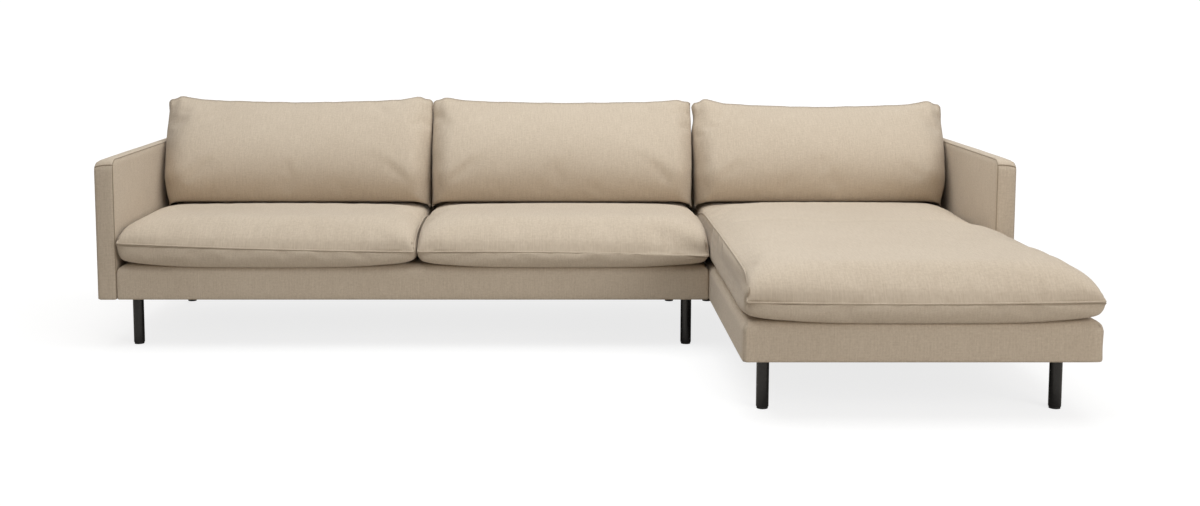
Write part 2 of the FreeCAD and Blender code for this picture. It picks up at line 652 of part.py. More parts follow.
chaise_felt = chaise_sheet("chaise_felt", f"{BACK_Y} - {CHAISE_FRONT_Y}", WEBBING_TOP_Z, "pad_thickness")
node("chaise_deck_pad", chaise_felt)
sofa_cloth = board("sofa_cloth", (SOFA_LEFT_X, SOFA_RIGHT_X), (FRAME_FRONT_Y, FRAME_REAR_Y),
                   ("base_clearance", RAIL_BOTTOM_Z))
chaise_cloth_depth = f"{FRAME_REAR_Y} - {CHAISE_FRONT_Y}"
chaise_cloth = chaise_sheet("chaise_cloth", chaise_cloth_depth, "base_clearance", "dust_cloth")
sofa_cloth_tool = group("sofa_cloth_tool", sofa_openings)
chaise_cloth_tool = group("chaise_cloth_tool", chaise_openings + pin_holes)
node("sofa_dust_cover", drilled("sofa_cloth_cut", sofa_cloth, sofa_cloth_tool))
node("chaise_dust_cover", drilled("chaise_cloth_cut", chaise_cloth, chaise_cloth_tool))

# Base covers: padded cloth over the rails and the platform, open below and at the back

INNER_HEIGHT = "(base_height - base_skin)"

sofa_width = f"({SOFA_SIDE_X} - {LEFT_END_X})"
sofa_seat_depth = "(sofa_depth - back_thickness)"
sofa_base = body_at("sofa_base", LEFT_END_X, FRONT_Y, "base_clearance")
pad(sofa_base, "XY_Plane", rectangle(("0", sofa_width), ("0", sofa_seat_depth)), "base_height")
soften(sofa_base, lambda box: level_at(box, number("base_height")) and box.YMax < NEAR, "base_edge_radius")
pocket(sofa_base, "XY_Plane",
       rectangle(("base_skin", f"{sofa_width} - base_skin"), ("base_skin", sofa_seat_depth)), INNER_HEIGHT)
node("sofa_base_cover", drilled("sofa_base_cut", sofa_base, left_slit_tool))

chaise_seat_depth = "(chaise_reach + sofa_depth - back_thickness)"
chaise_base = body_at("chaise_base", JOIN_X, CHAISE_FRONT_Y, "base_clearance")
pad(chaise_base, "XY_Plane", chaise_plan("0", chaise_seat_depth), "base_height")
soften(chaise_base, lambda box: upright(box) and box.YMax < NEAR, "base_corner_radius")
soften(
    chaise_base,
    lambda box: level_at(box, number("base_height")) and box.YMin < number("chaise_reach") - NEAR,
    "base_edge_radius",
)
pocket(chaise_base, "XY_Plane", chaise_plan("base_skin", chaise_seat_depth), INNER_HEIGHT)
node("chaise_base_cover", drilled("chaise_base_cut", chaise_base, right_slit_tool))

# Backs: a glued frame of posts and rails, a board behind it, straps across its front and a padded cover

BACK_INNER_Y = f"({BACK_Y} + base_skin)"
POST_FRONT_Y = f"({BACK_INNER_Y} + webbing_thickness)"
PANEL_Y = f"({FRAME_REAR_Y} - back_panel)"
LOWER_RAIL_Z = (f"({PLATFORM_Z} + back_rail_lift)", f"({PLATFORM_Z} + back_rail_lift + back_rail_height)")
TOP_RAIL_Z = (f"({BACK_INSIDE_Z} - rail_thickness)", BACK_INSIDE_Z)


def back_unit(section, left, right, post_count, first_post, last_post):
    """Frame, board and straps of one back, which stands in front of the rear rail and notches over it."""
    glued = []
    for index in range(post_count):
        x = f"({first_post} + ({last_post} - {first_post}) * {index} / {post_count - 1})"
        width = around(x, "post_width / 2")
        name = f"{section}_post_{index + 1}"
        glued.append(board(f"{name}_foot", width, (POST_FRONT_Y, REAR_RAIL_Y), (RAIL_BOTTOM_Z, RAIL_TOP_Z)))
        glued.append(board(f"{name}_upper", width, (POST_FRONT_Y, PANEL_Y), (RAIL_TOP_Z, TOP_RAIL_Z[0])))
    glued.append(board(f"{section}_lower_rail", (left, right),
                       (POST_FRONT_Y, f"{POST_FRONT_Y} + rail_thickness"), LOWER_RAIL_Z))
    glued.append(board(f"{section}_top_rail", (left, right), (POST_FRONT_Y, PANEL_Y), TOP_RAIL_Z))
    node(f"{section}_back_frame", joined(f"{section}_back_glued", glued))
    node(f"{section}_rear_rail", board(f"{section}_rear_board", (left, right),
                                       (REAR_RAIL_Y, FRAME_REAR_Y), RAIL_Z))
    node(f"{section}_back_panel", board(f"{section}_hardboard", (left, right), (PANEL_Y, FRAME_REAR_Y),
                                        (RAIL_TOP_Z, BACK_INSIDE_Z)))
    straps = []
    count = round(number("back_straps"))
    pitch = f"(({TOP_RAIL_Z[0]} - {LOWER_RAIL_Z[0]}) / {count})"
    for index in range(count):
        middle = f"({LOWER_RAIL_Z[0]} + {pitch} * {index} + {pitch} / 2)"
        straps.append(board(f"{section}_strap_{index + 1}", (left, right), (BACK_INNER_Y, POST_FRONT_Y),
                            around(middle, "webbing_width / 2")))
    node(f"{section}_back_webbing", group(f"{section}_back_straps", straps))


def back_cover(section, left, right):
    """Padded cover over a back, open below, with its front wall standing on the platform."""
    width = f"({right} - {left})"
    full = "(arm_height - base_clearance)"
    body = body_at(f"{section}_back_body", left, BACK_Y, "base_clearance")
    pad(body, "XY_Plane", rectangle(("0", width), ("0", "back_thickness")), full)
    soften(body, lambda box: level_at(box, number(full)) and box.XLength > NEAR, "back_edge_radius")
    pocket(body, "XY_Plane",
           rectangle(("base_skin", f"{width} - base_skin"), ("base_skin", "back_thickness - base_skin")),
           f"{full} - base_skin")
    pocket(body, "XZ_Plane",
           rectangle(("base_skin", f"{width} - base_skin"), ("0", "base_height")), "base_skin")
    node(f"{section}_back_cover", body)


POST_INSET = "(block_reach + post_width / 2)"
back_unit(
    "sofa", SOFA_RAIL_LEFT_X, SOFA_RAIL_RIGHT_X, 4,
    f"({SOFA_LEGS['rear_left'][0]} + {POST_INSET})", f"({SOFA_LEGS['rear_right'][0]} - {POST_INSET})",
)
back_unit(
    "chaise", CHAISE_RAIL_LEFT_X, CHAISE_RAIL_RIGHT_X, 3,
    f"({CHAISE_LEGS['rear_left'][0]} + {POST_INSET})", f"({CHAISE_LEGS['rear_right'][0]} - {POST_INSET})",
)
back_cover("sofa", LEFT_END_X, SOFA_SIDE_X)
back_cover("chaise", JOIN_X, RIGHT_END_X)

node("left_arm_bolts", group("left_arm_bolt_set", left_arm_bolts))
node("right_arm_bolts", group("right_arm_bolt_set", right_arm_bolts))

# Arms: a plywood panel with three openings inside a slim padded cover that is rounded at the top front

FRAME_SILL = "(base_height + window_lift)"
WINDOW_COUNT = 3


def arm_shape(name, x, skin):
    """The solid shape of an arm with its rounded nose, drawn in all round by a skin, from its lesser x."""
    body = body_at(name, f"{x} + {skin}", f"{FRONT_Y} + {skin}", "base_clearance")
    depth = f"(sofa_depth - 2 * {skin})"
    top = f"(arm_height - base_clearance - {skin})"
    pad(body, "YZ_Plane", rectangle(("0", depth), ("0", top)), f"arm_width - 2 * {skin}")
    soften(body, lambda box: level_at(box, number(top)) and box.YMax < NEAR, f"arm_nose_radius - {skin}")
    return body


def arm(side, x, bolt_tool, slit_tool):
    """One arm, placed by the lesser x of its faces, with the ways through it for its bolts."""
    frame = arm_shape(f"{side}_arm_panel", x, "arm_skin")
    clear_depth = f"((sofa_depth - 2 * arm_skin - window_border * {WINDOW_COUNT + 1}) / {WINDOW_COUNT})"
    for index in range(WINDOW_COUNT):
        near = f"(window_border + {index} * ({clear_depth} + window_border))"
        pocket(frame, "YZ_Plane",
               rectangle((near, f"{near} + {clear_depth}"), (FRAME_SILL, f"{FRAME_SILL} + window_height")),
               "arm_width - 2 * arm_skin")
    node(f"{side}_arm_frame", drilled(f"{side}_arm_frame_drilled", frame, bolt_tool))

    cover = arm_shape(f"{side}_arm_body", x, "0")
    long_edge = "(arm_height - base_clearance - arm_nose_radius)"
    soften(cover, lambda box: box.ZMax > number(long_edge) - NEAR and box.YLength > NEAR
           and box.XLength < NEAR, "arm_edge_radius")
    hollow = arm_shape(f"{side}_arm_hollow", x, "arm_skin")
    shell = drilled(f"{side}_arm_shell", cover, hollow)
    node(f"{side}_arm_cover", drilled(f"{side}_arm_cover_slit", shell, slit_tool))


arm("left", LEFT_X, left_arm_tool, left_slit_tool)
arm("right", RIGHT_END_X, right_arm_tool, right_slit_tool)

# Cushions: loose cases filled round a foam core, each lying on the platform or leaning on a back


def seat_cushion(name, left, right, front, plan=None):
    """Seat cushion with a crowned top, a welted seam low on its sides and a tucked lower edge."""
    width = f"({right} - ({left}))"
    depth = f"({BACK_Y} - rest_play - ({front}))"
    height = "seat_cushion_height"
    shoulder = f"({height} - shoulder_drop)"
    origin = (left, front, f"{PLATFORM_Z} + rest_play")

    face = body_at(f"{name}_face", *origin)
    pad(face, "XZ_Plane", [
        ("cushion_tuck / 2", "0"),
        (f"{width} - cushion_tuck / 2", "0"),
        (width, "welt_height"),
        (f"{width} - shoulder_inset", f"{height} - seat_crown"),
        ("shoulder_inset", f"{height} - seat_crown"),
        ("0", "welt_height"),
    ], depth, {2: "seat_bulge", 3: "seat_crown", 4: "seat_bulge"})

    side = body_at(f"{name}_side", *origin)
    pad(side, "YZ_Plane", [
        ("cushion_tuck", "0"),
        (depth, "0"),
        (depth, height),
        ("2 * shoulder_inset", height),
        ("shoulder_inset / 2", shoulder),
        ("0", "welt_height"),
    ], width, {4: "seat_bulge / 3", 5: "seat_bulge"})

    shapes = [face, side]
    if plan:
        top = body_at(f"{name}_plan", *origin)
        pad(top, "XY_Plane", plan(width, depth), height)
        shapes.append(top)
    pillow = doc.addObject("Part::MultiCommon", f"{name}_pillow")
    pillow.Shapes = shapes
    core_x = (f"{left} + core_margin", f"{right} - core_margin")
    if plan:
        core_x = (core_x[0], f"{RIGHT_END_X} - core_margin")
    core = board(f"{name}_foam", core_x, (f"{front} + core_margin", f"{BACK_Y} - core_margin"),
                 (f"{origin[2]} + core_skin", f"{origin[2]} + {height} - seat_crown - core_skin"))
    node(f"{name}_case", drilled(f"{name}_hollow", pillow, core))
    node(f"{name}_core", core)


def chaise_cushion_plan(width, depth):
    """Plan of the chaise cushion: it is cut back beside the arm."""
    step = f"(chaise_reach + cushion_overhang - cushion_play)"
    narrow = f"({width} - (arm_width - chaise_side_inset) - arm_play + cushion_play)"
    return [("0", "0"), (width, "0"), (width, step), (narrow, step), (narrow, depth), ("0", depth)]


SEAT_FRONT_Y = f"({FRONT_Y} - cushion_overhang)"
CHAISE_CUSHION_FRONT_Y = f"({CHAISE_FRONT_Y} - cushion_overhang)"
SEAT_DIVIDE_X = "(-seat_divide)"
LEFT_OF_DIVIDE_X = f"({SEAT_DIVIDE_X} - cushion_play / 2)"
RIGHT_OF_DIVIDE_X = f"({SEAT_DIVIDE_X} + cushion_play / 2)"
seat_cushion("seat_cushion_left", f"({LEFT_END_X} + arm_play)", LEFT_OF_DIVIDE_X, SEAT_FRONT_Y)
seat_cushion("seat_cushion_middle", RIGHT_OF_DIVIDE_X, SOFA_SIDE_X, SEAT_FRONT_Y)
seat_cushion("chaise_cushion", f"({JOIN_X} + cushion_play / 2)", f"({CHAISE_SIDE_X} - cushion_play)",
             CHAISE_CUSHION_FRONT_Y, chaise_cushion_plan)


def back_cushion(name, left, right):
    """Back cushion: a leaning pillow with a knife edge on top, two raised ears and drawn-in corners."""
    width = f"({right} - ({left}))"
    depth = "back_cushion_depth"
    height = "back_cushion_height"
    wall = f"(arm_height - {SEAT_TOP_Z})"
    front = f"({BACK_Y} - rest_play - back_cushion_depth)"
    origin = (left, front, f"{SEAT_TOP_Z} + rest_play")

    side = body_at(f"{name}_side", *origin)
    pad(side, "YZ_Plane", [
        ("back_cushion_toe", "0"),
        (depth, "0"),
        (depth, wall),
        ("back_cushion_lean", height),
        ("0", "toe_height"),
    ], width, {2: "back_shoulder", 3: "back_belly", 4: "toe_bulge"})

    face = body_at(f"{name}_face", *origin)
    pad(face, "XZ_Plane", [
        ("corner_pinch", "0"),
        (f"{width} - corner_pinch", "0"),
        (width, "corner_rise"),
        (width, height),
        ("0", height),
        ("0", "corner_rise"),
    ], f"2 * {depth}", {3: "(-ear_rise)"})
    pillow = doc.addObject("Part::MultiCommon", f"{name}_pillow")
    pillow.Shapes = [side, face]
    core_front = f"({BACK_Y} - core_skin - back_core_depth)"
    core_base = f"({origin[2]} + core_skin)"
    core = board(f"{name}_foam", (f"{left} + core_margin", f"{right} - core_margin"),
                 (core_front, f"{core_front} + back_core_depth"),
                 (core_base, f"{core_base} + back_core_height"))
    node(f"{name}_case", drilled(f"{name}_hollow", pillow, core))
    node(f"{name}_core", core)


back_cushion("back_cushion_left", f"({LEFT_END_X} + cushion_play)", LEFT_OF_DIVIDE_X)
back_cushion("back_cushion_middle", RIGHT_OF_DIVIDE_X, SOFA_SIDE_X)
back_cushion("back_cushion_right", f"({JOIN_X} + cushion_play / 2)", f"({RIGHT_END_X} - cushion_play)")

# Every object has to be sound before any file is written

doc.recompute()
for item in doc.Objects:
    if "Invalid" in item.State or "Error" in item.State:
        raise RuntimeError(f"{item.Name} is {item.State}")
for item in NODES:
    if item.Shape.isNull() or not item.Shape.isValid():
        raise RuntimeError(f"{item.Label} has no sound shape")
    if not item.Shape.Solids:
        raise RuntimeError(f"{item.Label} holds no solid")

os.makedirs("parts", exist_ok=True)
for item in NODES:
    item.Shape.exportStep(os.path.join("parts", f"{item.Label}.step"))
print(f"{len(NODES)} nodes")
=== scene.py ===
# %% [markdown]
# # A sectional sofa with a chaise, dressed in woven cloth
#
# The solids of the sofa are already built and packed: a plywood frame with covers, loose cushions and
# steel legs. This lesson loads them as a fixed frame, gives every soft part its filled shape and every
# surface a finish, and moves nothing that the frame places.
#
# The frame comes first, because each visible piece is measured from it.

# %% Load the frame
import json
import math

import bpy
import numpy as np
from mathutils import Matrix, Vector


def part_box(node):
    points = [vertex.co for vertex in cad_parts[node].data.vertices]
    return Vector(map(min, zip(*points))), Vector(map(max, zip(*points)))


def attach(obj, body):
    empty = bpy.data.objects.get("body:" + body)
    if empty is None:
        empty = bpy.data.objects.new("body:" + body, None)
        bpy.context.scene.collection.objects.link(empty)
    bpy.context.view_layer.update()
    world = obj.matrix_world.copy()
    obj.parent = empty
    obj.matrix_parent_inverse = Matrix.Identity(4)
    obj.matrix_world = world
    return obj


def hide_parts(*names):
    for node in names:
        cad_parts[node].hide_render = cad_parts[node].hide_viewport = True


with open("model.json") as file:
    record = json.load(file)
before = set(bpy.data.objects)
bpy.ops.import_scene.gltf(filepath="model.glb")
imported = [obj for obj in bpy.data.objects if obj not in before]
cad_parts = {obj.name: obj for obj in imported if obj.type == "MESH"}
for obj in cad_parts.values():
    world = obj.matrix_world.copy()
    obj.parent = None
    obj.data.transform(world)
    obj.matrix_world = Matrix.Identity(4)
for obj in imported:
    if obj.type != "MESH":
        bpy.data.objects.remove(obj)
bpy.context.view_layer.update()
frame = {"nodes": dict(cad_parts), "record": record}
scene = bpy.context.scene
scene.view_settings.view_transform = "Standard"

# %% [markdown]
# ## Writing a finish as sums
#
# A finish is a net of nodes, and wiring sums by hand hides what they mean. A small class wraps one socket
# and lets ordinary operators add the Math nodes: `1 - worn * 0.2` reads as it works. Every other node comes
# from one method that takes its type, its settings and the values of its sockets.


# %% A socket that can be reckoned with
class Net:
    """One socket of a material's net of nodes, with arithmetic."""

    def __init__(self, tree, socket):
        self.tree = tree
        self.socket = socket

    def node(self, kind, settings=None, inputs=None, output=0):
        """Add a node: its settings first, then its sockets, each by name or number. Gives one output."""
        made = self.tree.nodes.new(kind)
        for name, value in (settings or {}).items():
            setattr(made, name, value)
        for key, value in (inputs or {}).items():
            if isinstance(value, Net):
                self.tree.links.new(value.socket, made.inputs[key])
            else:
                made.inputs[key].default_value = value
        return Net(self.tree, made.outputs[output])

    def math(self, operation, *values):
        """One Math node with its values or links in order."""
        return self.node("ShaderNodeMath", {"operation": operation}, dict(enumerate(values)))

    def __add__(self, other):
        return self.math("ADD", self, other)

    __radd__ = __add__

    def __sub__(self, other):
        return self.math("SUBTRACT", self, other)

    def __rsub__(self, other):
        return self.math("SUBTRACT", other, self)

    def __mul__(self, other):
        return self.math("MULTIPLY", self, other)

    __rmul__ = __mul__

    def wave(self):
        """The sine of the value."""
        return self.math("SINE", self)

    def flat_parts(self):
        """The first two values of a place, each by itself."""
        parts = self.node("ShaderNodeSeparateXYZ", None, {0: self}).socket.node
        return Net(self.tree, parts.outputs[0]), Net(self.tree, parts.outputs[1])

    def held(self):
        """The value kept between nought and one."""
        return self.node("ShaderNodeClamp", None, {0: self})

    def ease(self, low, high):
        """Nought under low, one over high, and a smooth rise between."""
        settings = {"interpolation_type": "SMOOTHSTEP"}
        return self.node("ShaderNodeMapRange", settings, {0: self, 1: low, 2: high, 3: 0.0, 4: 1.0})


def blended(amount, first, second):
    """Colour that goes from the first to the second as amount goes from nought to one."""
    inputs = {0: amount, 6: first, 7: second}
    return amount.node("ShaderNodeMix", {"data_type": "RGBA"}, inputs, output=2)


def finish(name, colour, **constants):
    """A new finish, its shader and a socket to start sums from."""
    made = bpy.data.materials.new(name)
    made.use_nodes = True
    shader = made.node_tree.nodes["Principled BSDF"]
    shader.inputs["Base Color"].default_value = (*colour, 1)
    for key, value in constants.items():
        shader.inputs[key.replace("_", " ")].default_value = value
    places = made.node_tree.nodes.new("ShaderNodeTexCoord")
    return made, shader, Net(made.node_tree, places.outputs["Object"])


def feed(made, shader, **sockets):
    """Join worked-out values to the shader's sockets. Gives the finish."""
    for key, value in sockets.items():
        made.node_tree.links.new(value.socket, shader.inputs[key.replace("_", " ")])
    return made


def shaded(colour, share=1.0):
    """A colour made darker or lighter by a share, with the fourth value that sockets ask for."""
    return (*[part * share for part in colour], 1)


def noise(start, place, scale, detail=2.0, rough=0.5):
    """Cloudy values round a half, at so many spots to the metre."""
    inputs = {"Vector": place, "Scale": scale, "Detail": detail, "Roughness": rough}
    return start.node("ShaderNodeTexNoise", None, inputs)


def stretched(start, place, factors):
    """The place with each of its axes stretched."""
    return start.node("ShaderNodeVectorMath", {"operation": "MULTIPLY"}, {0: place, 1: factors})


def bumped(height, depth, strength=1.0):
    """A normal from a height. Depth is in metres."""
    return height.node("ShaderNodeBump", None, {"Height": height, "Distance": depth, "Strength": strength})


print("sums ready")

# %% [markdown]
# ## The cover cloth
#
# The cloth is a plain weave in sand and oat, with faint upright ribs and a fine mottle. A picture of it
# would repeat and stretch, so its threads are sums of waves along its own two directions, which each piece
# carries as a map in metres, and its slubs are noise stretched along a thread. Its seams get painted shade:
# pieces carry that as a second value, which mixes the cloth towards a dark brown.

# %% Woven cloth
OAT = (0.705, 0.610, 0.492)
SAND = (0.485, 0.396, 0.300)
# A dark brown that the seams are mixed towards: painted shade.
PAINTED_SEAM_SHADE = (0.30, 0.235, 0.17)
THREAD = 0.0022
RIB_SPOTS, PICK_SPOTS, MOTTLE_SPOTS = (260, 16, 1), (36, 300, 1), (170, 130, 1)


def woven_cloth():
    """The weave: threads from waves, ribs and picks from stretched noise, and painted shade in the seams."""
    constants = {"Roughness": 0.92, "Sheen_Weight": 0.18, "Sheen_Roughness": 0.45, "Specular_IOR_Level": 0.25}
    made, shader, start = finish("cover_cloth", OAT, **constants)
    cloth = start.node("ShaderNodeUVMap", {"uv_map": "cloth"})
    across, along = cloth.flat_parts()
    turn = 2 * math.pi / THREAD
    warp, weft = (across * turn).wave(), (along * turn).wave()
    weave = warp * weft * 0.5 + 0.5
    ribs = noise(start, stretched(start, cloth, RIB_SPOTS), 1.0, 2.0)
    picks = noise(start, stretched(start, cloth, PICK_SPOTS), 1.0, 1.0)
    mottle = noise(start, stretched(start, cloth, MOTTLE_SPOTS), 1.0, 3.0, 0.7)
    fields = noise(start, start, 2.6, 2.0)
    tone = ribs * 0.62 + picks * 0.40 + mottle * 1.0 + fields * 0.35 - 0.685 + (weave - 0.5) * 0.08
    colour = blended(tone.held(), shaded(SAND), shaded(OAT))
    # Painted shade: the cloth is mixed towards a dark brown by the seam value that each piece carries.
    seam = start.node("ShaderNodeAttribute", {"attribute_name": "seam"}, None, output=2)
    colour = blended(seam * 0.8, colour, shaded(PAINTED_SEAM_SHADE))
    rough = 0.95 - ribs * 0.08
    height = weave * 0.35 + ribs * 0.8 + picks * 0.5 + mottle * 0.6
    return feed(made, shader, Base_Color=colour, Roughness=rough, Normal=bumped(height, 0.0011, 0.55))


COVER_CLOTH = woven_cloth()
print("cloth with", len(COVER_CLOTH.node_tree.nodes), "nodes")

# %% [markdown]
# ## The hard finishes
#
# The legs are black powder coat with a fine orange peel, the fittings black or zinc plated steel, the frame
# under the covers birch plywood, and the back has a brown hardboard panel. Each is one shader whose colour,
# roughness and bump are worked out.


# %% Powder coat, steel and plastic
def coated(name, colour, rough, peel):
    """A coat of paint or plastic with a fine peel and a little uneven gloss."""
    made, shader, start = finish(name, colour, Roughness=rough, Specular_IOR_Level=0.75)
    peeled = noise(start, start, 900, 2.0)
    cloud = noise(start, start, 30, 2.0)
    tint = blended(cloud.ease(0.3, 0.7), shaded(colour, 0.8), shaded(colour, 1.25))
    return feed(made, shader, Base_Color=tint, Roughness=rough - 0.05 + cloud * 0.1, Normal=bumped(peeled, peel, 0.5))


def plated(name, colour, rough):
    """Plated steel with drawn lines along its length."""
    made, shader, start = finish(name, colour, Metallic=1.0)
    lines = noise(start, stretched(start, start, (40, 1500, 1500)), 1.0, 2.0)
    cloud = noise(start, start, 60, 3.0)
    tint = blended(cloud, shaded(colour, 0.85), shaded(colour))
    return feed(made, shader, Base_Color=tint, Roughness=rough + lines * 0.15, Normal=bumped(lines, 0.00008, 0.4))


COATS = {
    "black_tube": coated("black_powder_coat", (0.012, 0.012, 0.013), 0.22, 0.0001),
    "black_steel": coated("black_steel", (0.016, 0.016, 0.017), 0.45, 0.0001),
    "glide_plastic": coated("glide_plastic", (0.022, 0.022, 0.023), 0.55, 0.00008),
    "zinc_steel": plated("zinc_steel", (0.62, 0.64, 0.66), 0.3),
}
print(len(COATS), "coats")


# %% Wood, board and the layers under the cloth
def plywood():
    """Birch plywood: long grain, and plies that come round every 1.5 mm of height."""
    made, shader, start = finish("birch_plywood", (0.62, 0.45, 0.27), Roughness=0.6)
    grain = noise(start, stretched(start, start, (6, 60, 160)), 1.0, 4.0, 0.6)
    plies = noise(start, stretched(start, start, (2, 650, 2)), 1.0, 0.0)
    tint = blended((grain * 0.8 + plies * 0.4 - 0.1).held(), (0.42, 0.27, 0.14, 1), (0.70, 0.53, 0.34, 1))
    return feed(made, shader, Base_Color=tint, Roughness=0.5 + grain * 0.2, Normal=bumped(grain, 0.0004, 0.4))


def pressed(name, dark, light, scale, rough, depth):
    """Felted or pressed stuff: short fibres in every direction."""
    made, shader, start = finish(name, light, Roughness=rough)
    fibres = noise(start, start, scale, 5.0, 0.7)
    clumps = noise(start, start, scale / 12, 2.0)
    tint = blended((fibres * 0.8 + clumps * 0.4 - 0.1).held(), shaded(dark), shaded(light))
    return feed(made, shader, Base_Color=tint, Roughness=rough - 0.05 + fibres * 0.1, Normal=bumped(fibres, depth))


def banded(name, dark, light):
    """Elastic webbing: tight crosswise ribs with coloured cords among them."""
    made, shader, start = finish(name, light, Roughness=0.8)
    x, y = start.flat_parts()
    ribs = ((x + y) * 2200).wave() * ((x - y) * 2200).wave() * 0.5 + 0.5
    wear = noise(start, start, 45, 3.0)
    tint = blended((ribs * 0.6 + wear * 0.5).held(), shaded(dark), shaded(light))
    return feed(made, shader, Base_Color=tint, Roughness=0.7 + wear * 0.2, Normal=bumped(ribs, 0.0004))


FINISHES = {
    "plywood": plywood(),
    "hardboard": pressed("brown_hardboard", (0.16, 0.085, 0.04), (0.30, 0.17, 0.085), 700, 0.65, 0.0002),
    "felt": pressed("grey_felt", (0.20, 0.20, 0.20), (0.42, 0.41, 0.40), 500, 0.95, 0.001),
    "foam": pressed("white_foam", (0.66, 0.62, 0.50), (0.80, 0.77, 0.66), 800, 0.9, 0.0006),
    "dust_cloth": pressed("black_dust_cloth", (0.010, 0.010, 0.011), (0.030, 0.030, 0.032), 900, 0.9, 0.0004),
    "webbing": banded("webbing", (0.05, 0.05, 0.055), (0.16, 0.15, 0.14)),
    "upholstery": COVER_CLOTH,
    **COATS,
}
print(len(FINISHES), "finishes")

# %% [markdown]
# ## Dress the solids that stay
#
# Legs, glides, frames, webbing and connectors keep the solids' shapes. The record says which slot each
# solid takes, so a loop gives each its finish.


# %% A finish for every solid
slot_of = {entry["node"]: entry["material_slot"] for entry in frame["record"]["subparts"]}
for name, solid in frame["nodes"].items():
    solid.data.materials.clear()
    solid.data.materials.append(FINISHES[slot_of[name]])
print("dressed", len(frame["nodes"]), "solids")

# %% [markdown]
# ## Making a mesh from sums
#
# Upholstery is easier to describe than to push about, so each shape is worked out as rows of points and
# the mesh is made from them at once. Every face corner gets its place on the flat cloth, in metres, and
# every point a value for the painted shade near its seam, by which the cloth finish darkens it.


# %% Points and faces to an object
def made_piece(name, points, faces, cloth, seam=None):
    """An object from points, quads, and for each quad's corners the place on the cloth."""
    mesh = bpy.data.meshes.new(name)
    mesh.from_pydata(np.asarray(points).tolist(), [], np.asarray(faces).tolist())
    layer = mesh.uv_layers.new(name="cloth")
    layer.data.foreach_set("uv", np.asarray(cloth, dtype=np.float32).reshape(-1))
    # The seam value is painted shade: the cloth finish darkens each point by it.
    if seam is None:
        seam = np.zeros(len(points))
    depth = mesh.attributes.new("seam", "FLOAT", "POINT")
    depth.data.foreach_set("value", seam.astype(np.float32))
    mesh.polygons.foreach_set("use_smooth", np.ones(len(faces), bool))
    mesh.materials.append(COVER_CLOTH)
    mesh.update()
    piece = bpy.data.objects.new(name, mesh)
    scene.collection.objects.link(piece)
    return piece


def points_of(mesh):
    """Where each point of a mesh is."""
    flat = np.empty(len(mesh.vertices) * 3, np.float32)
    mesh.vertices.foreach_get("co", flat)
    return flat.reshape(-1, 3).astype(float)


def reshape(piece, change):
    """Move a piece's points by a sum over all of them."""
    points = change(points_of(piece.data))
    piece.data.vertices.foreach_set("co", points.astype(np.float32).reshape(-1))
    piece.data.update()


def run_of(path):
    """How far along a path each of its points lies."""
    return np.concatenate([[0], np.cumsum(np.linalg.norm(np.diff(path, axis=0), axis=1))])


def placed_along(path, places):
    """Points at given distances along a path."""
    run = run_of(path)
    return np.column_stack([np.interp(places, run, path[:, axis]) for axis in range(path.shape[1])])


def box_of(node):
    """Both corners of a solid's box, ready for sums."""
    return [np.array(corner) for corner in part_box(node)]


def steps(low, high, pitch, extra):
    """Places from low to high about a pitch apart, with some more that must be there."""
    count = max(1, round((high - low) / pitch))
    places = np.linspace(low, high, count + 1)
    near = [p for p in places[1:-1] if all(abs(p - e) > pitch * 0.35 for e in extra)]
    return np.array(sorted({low, high, *near, *[e for e in extra if low < e < high]}))


def box_skin(lines):
    """The skin of a box of points: the points, quads facing out, and their cloth places."""
    index, points, faces, cloth = {}, [], [], []
    ends = [len(line) - 1 for line in lines]
    onward, back = ((0, 0), (1, 0), (1, 1), (0, 1)), ((0, 0), (0, 1), (1, 1), (1, 0))
    walls = (
        (0, 1, ((ends[2], onward), (0, back))),
        (0, 2, ((0, onward), (ends[1], back))),
        (1, 2, ((0, back), (ends[0], onward))),
    )
    for a, b, pair in walls:
        for i, j in np.ndindex(ends[a], ends[b]):
            for level, turn in pair:
                quad = []
                for di, dj in turn:
                    spot = [level] * 3
                    spot[a], spot[b] = i + di, j + dj
                    if tuple(spot) not in index:
                        index[tuple(spot)] = len(points)
                        points.append([line[k] for line, k in zip(lines, spot)])
                    quad.append(index[tuple(spot)])
                    cloth.append((lines[a][spot[a]], lines[b][spot[b]]))
                faces.append(quad)
    return np.array(points), np.array(faces), np.array(cloth)


def smooth(values, low, high):
    """Nought under low, one over high, eased between."""
    t = np.clip((values - low) / (high - low), 0, 1)
    return t * t * (3 - 2 * t)


def hump(values, middle, width):
    """One at the middle, falling softly to nought on both sides."""
    return np.exp(-((values - middle) / width) ** 2)


RIPPLE_WAVES, RIPPLE_SIZE = 7, 0.34


def ripple(points, seed):
    """A soft, repeatable unevenness from minus one to one: a few crossing waves."""
    maker = np.random.default_rng(seed)
    total = np.zeros(len(points))
    for _ in range(RIPPLE_WAVES):
        way = maker.normal(size=3)
        way *= maker.uniform(0.6, 1.5) / np.linalg.norm(way)
        total += np.sin(points @ way * (2 * math.pi / RIPPLE_SIZE) + maker.uniform(0, 2 * math.pi))
    return total / RIPPLE_WAVES


print("mesh helpers ready")

# %% [markdown]
# ## Rounded slabs
#
# The arms, the backs and the bases are cloth pulled over a hard frame with thin wadding. A bevelled box
# would be dead flat and alike all round. Here a skin of points is pressed round its edges, with its own
# radius for each corner of its outline, then swells and ripples by a millimetre or two.


# %% Press a box skin into a rounded slab
def rounded_turn(first, second):
    """Where places lie in a square corner, given as shares of its radius, and how far to pull them in."""
    inside = (first > 0) & (second > 0)
    length = np.hypot(first, second)
    keep = np.where(inside & (length > 0), np.maximum(first, second) / np.where(length > 0, length, 1), 1.0)
    return inside, keep


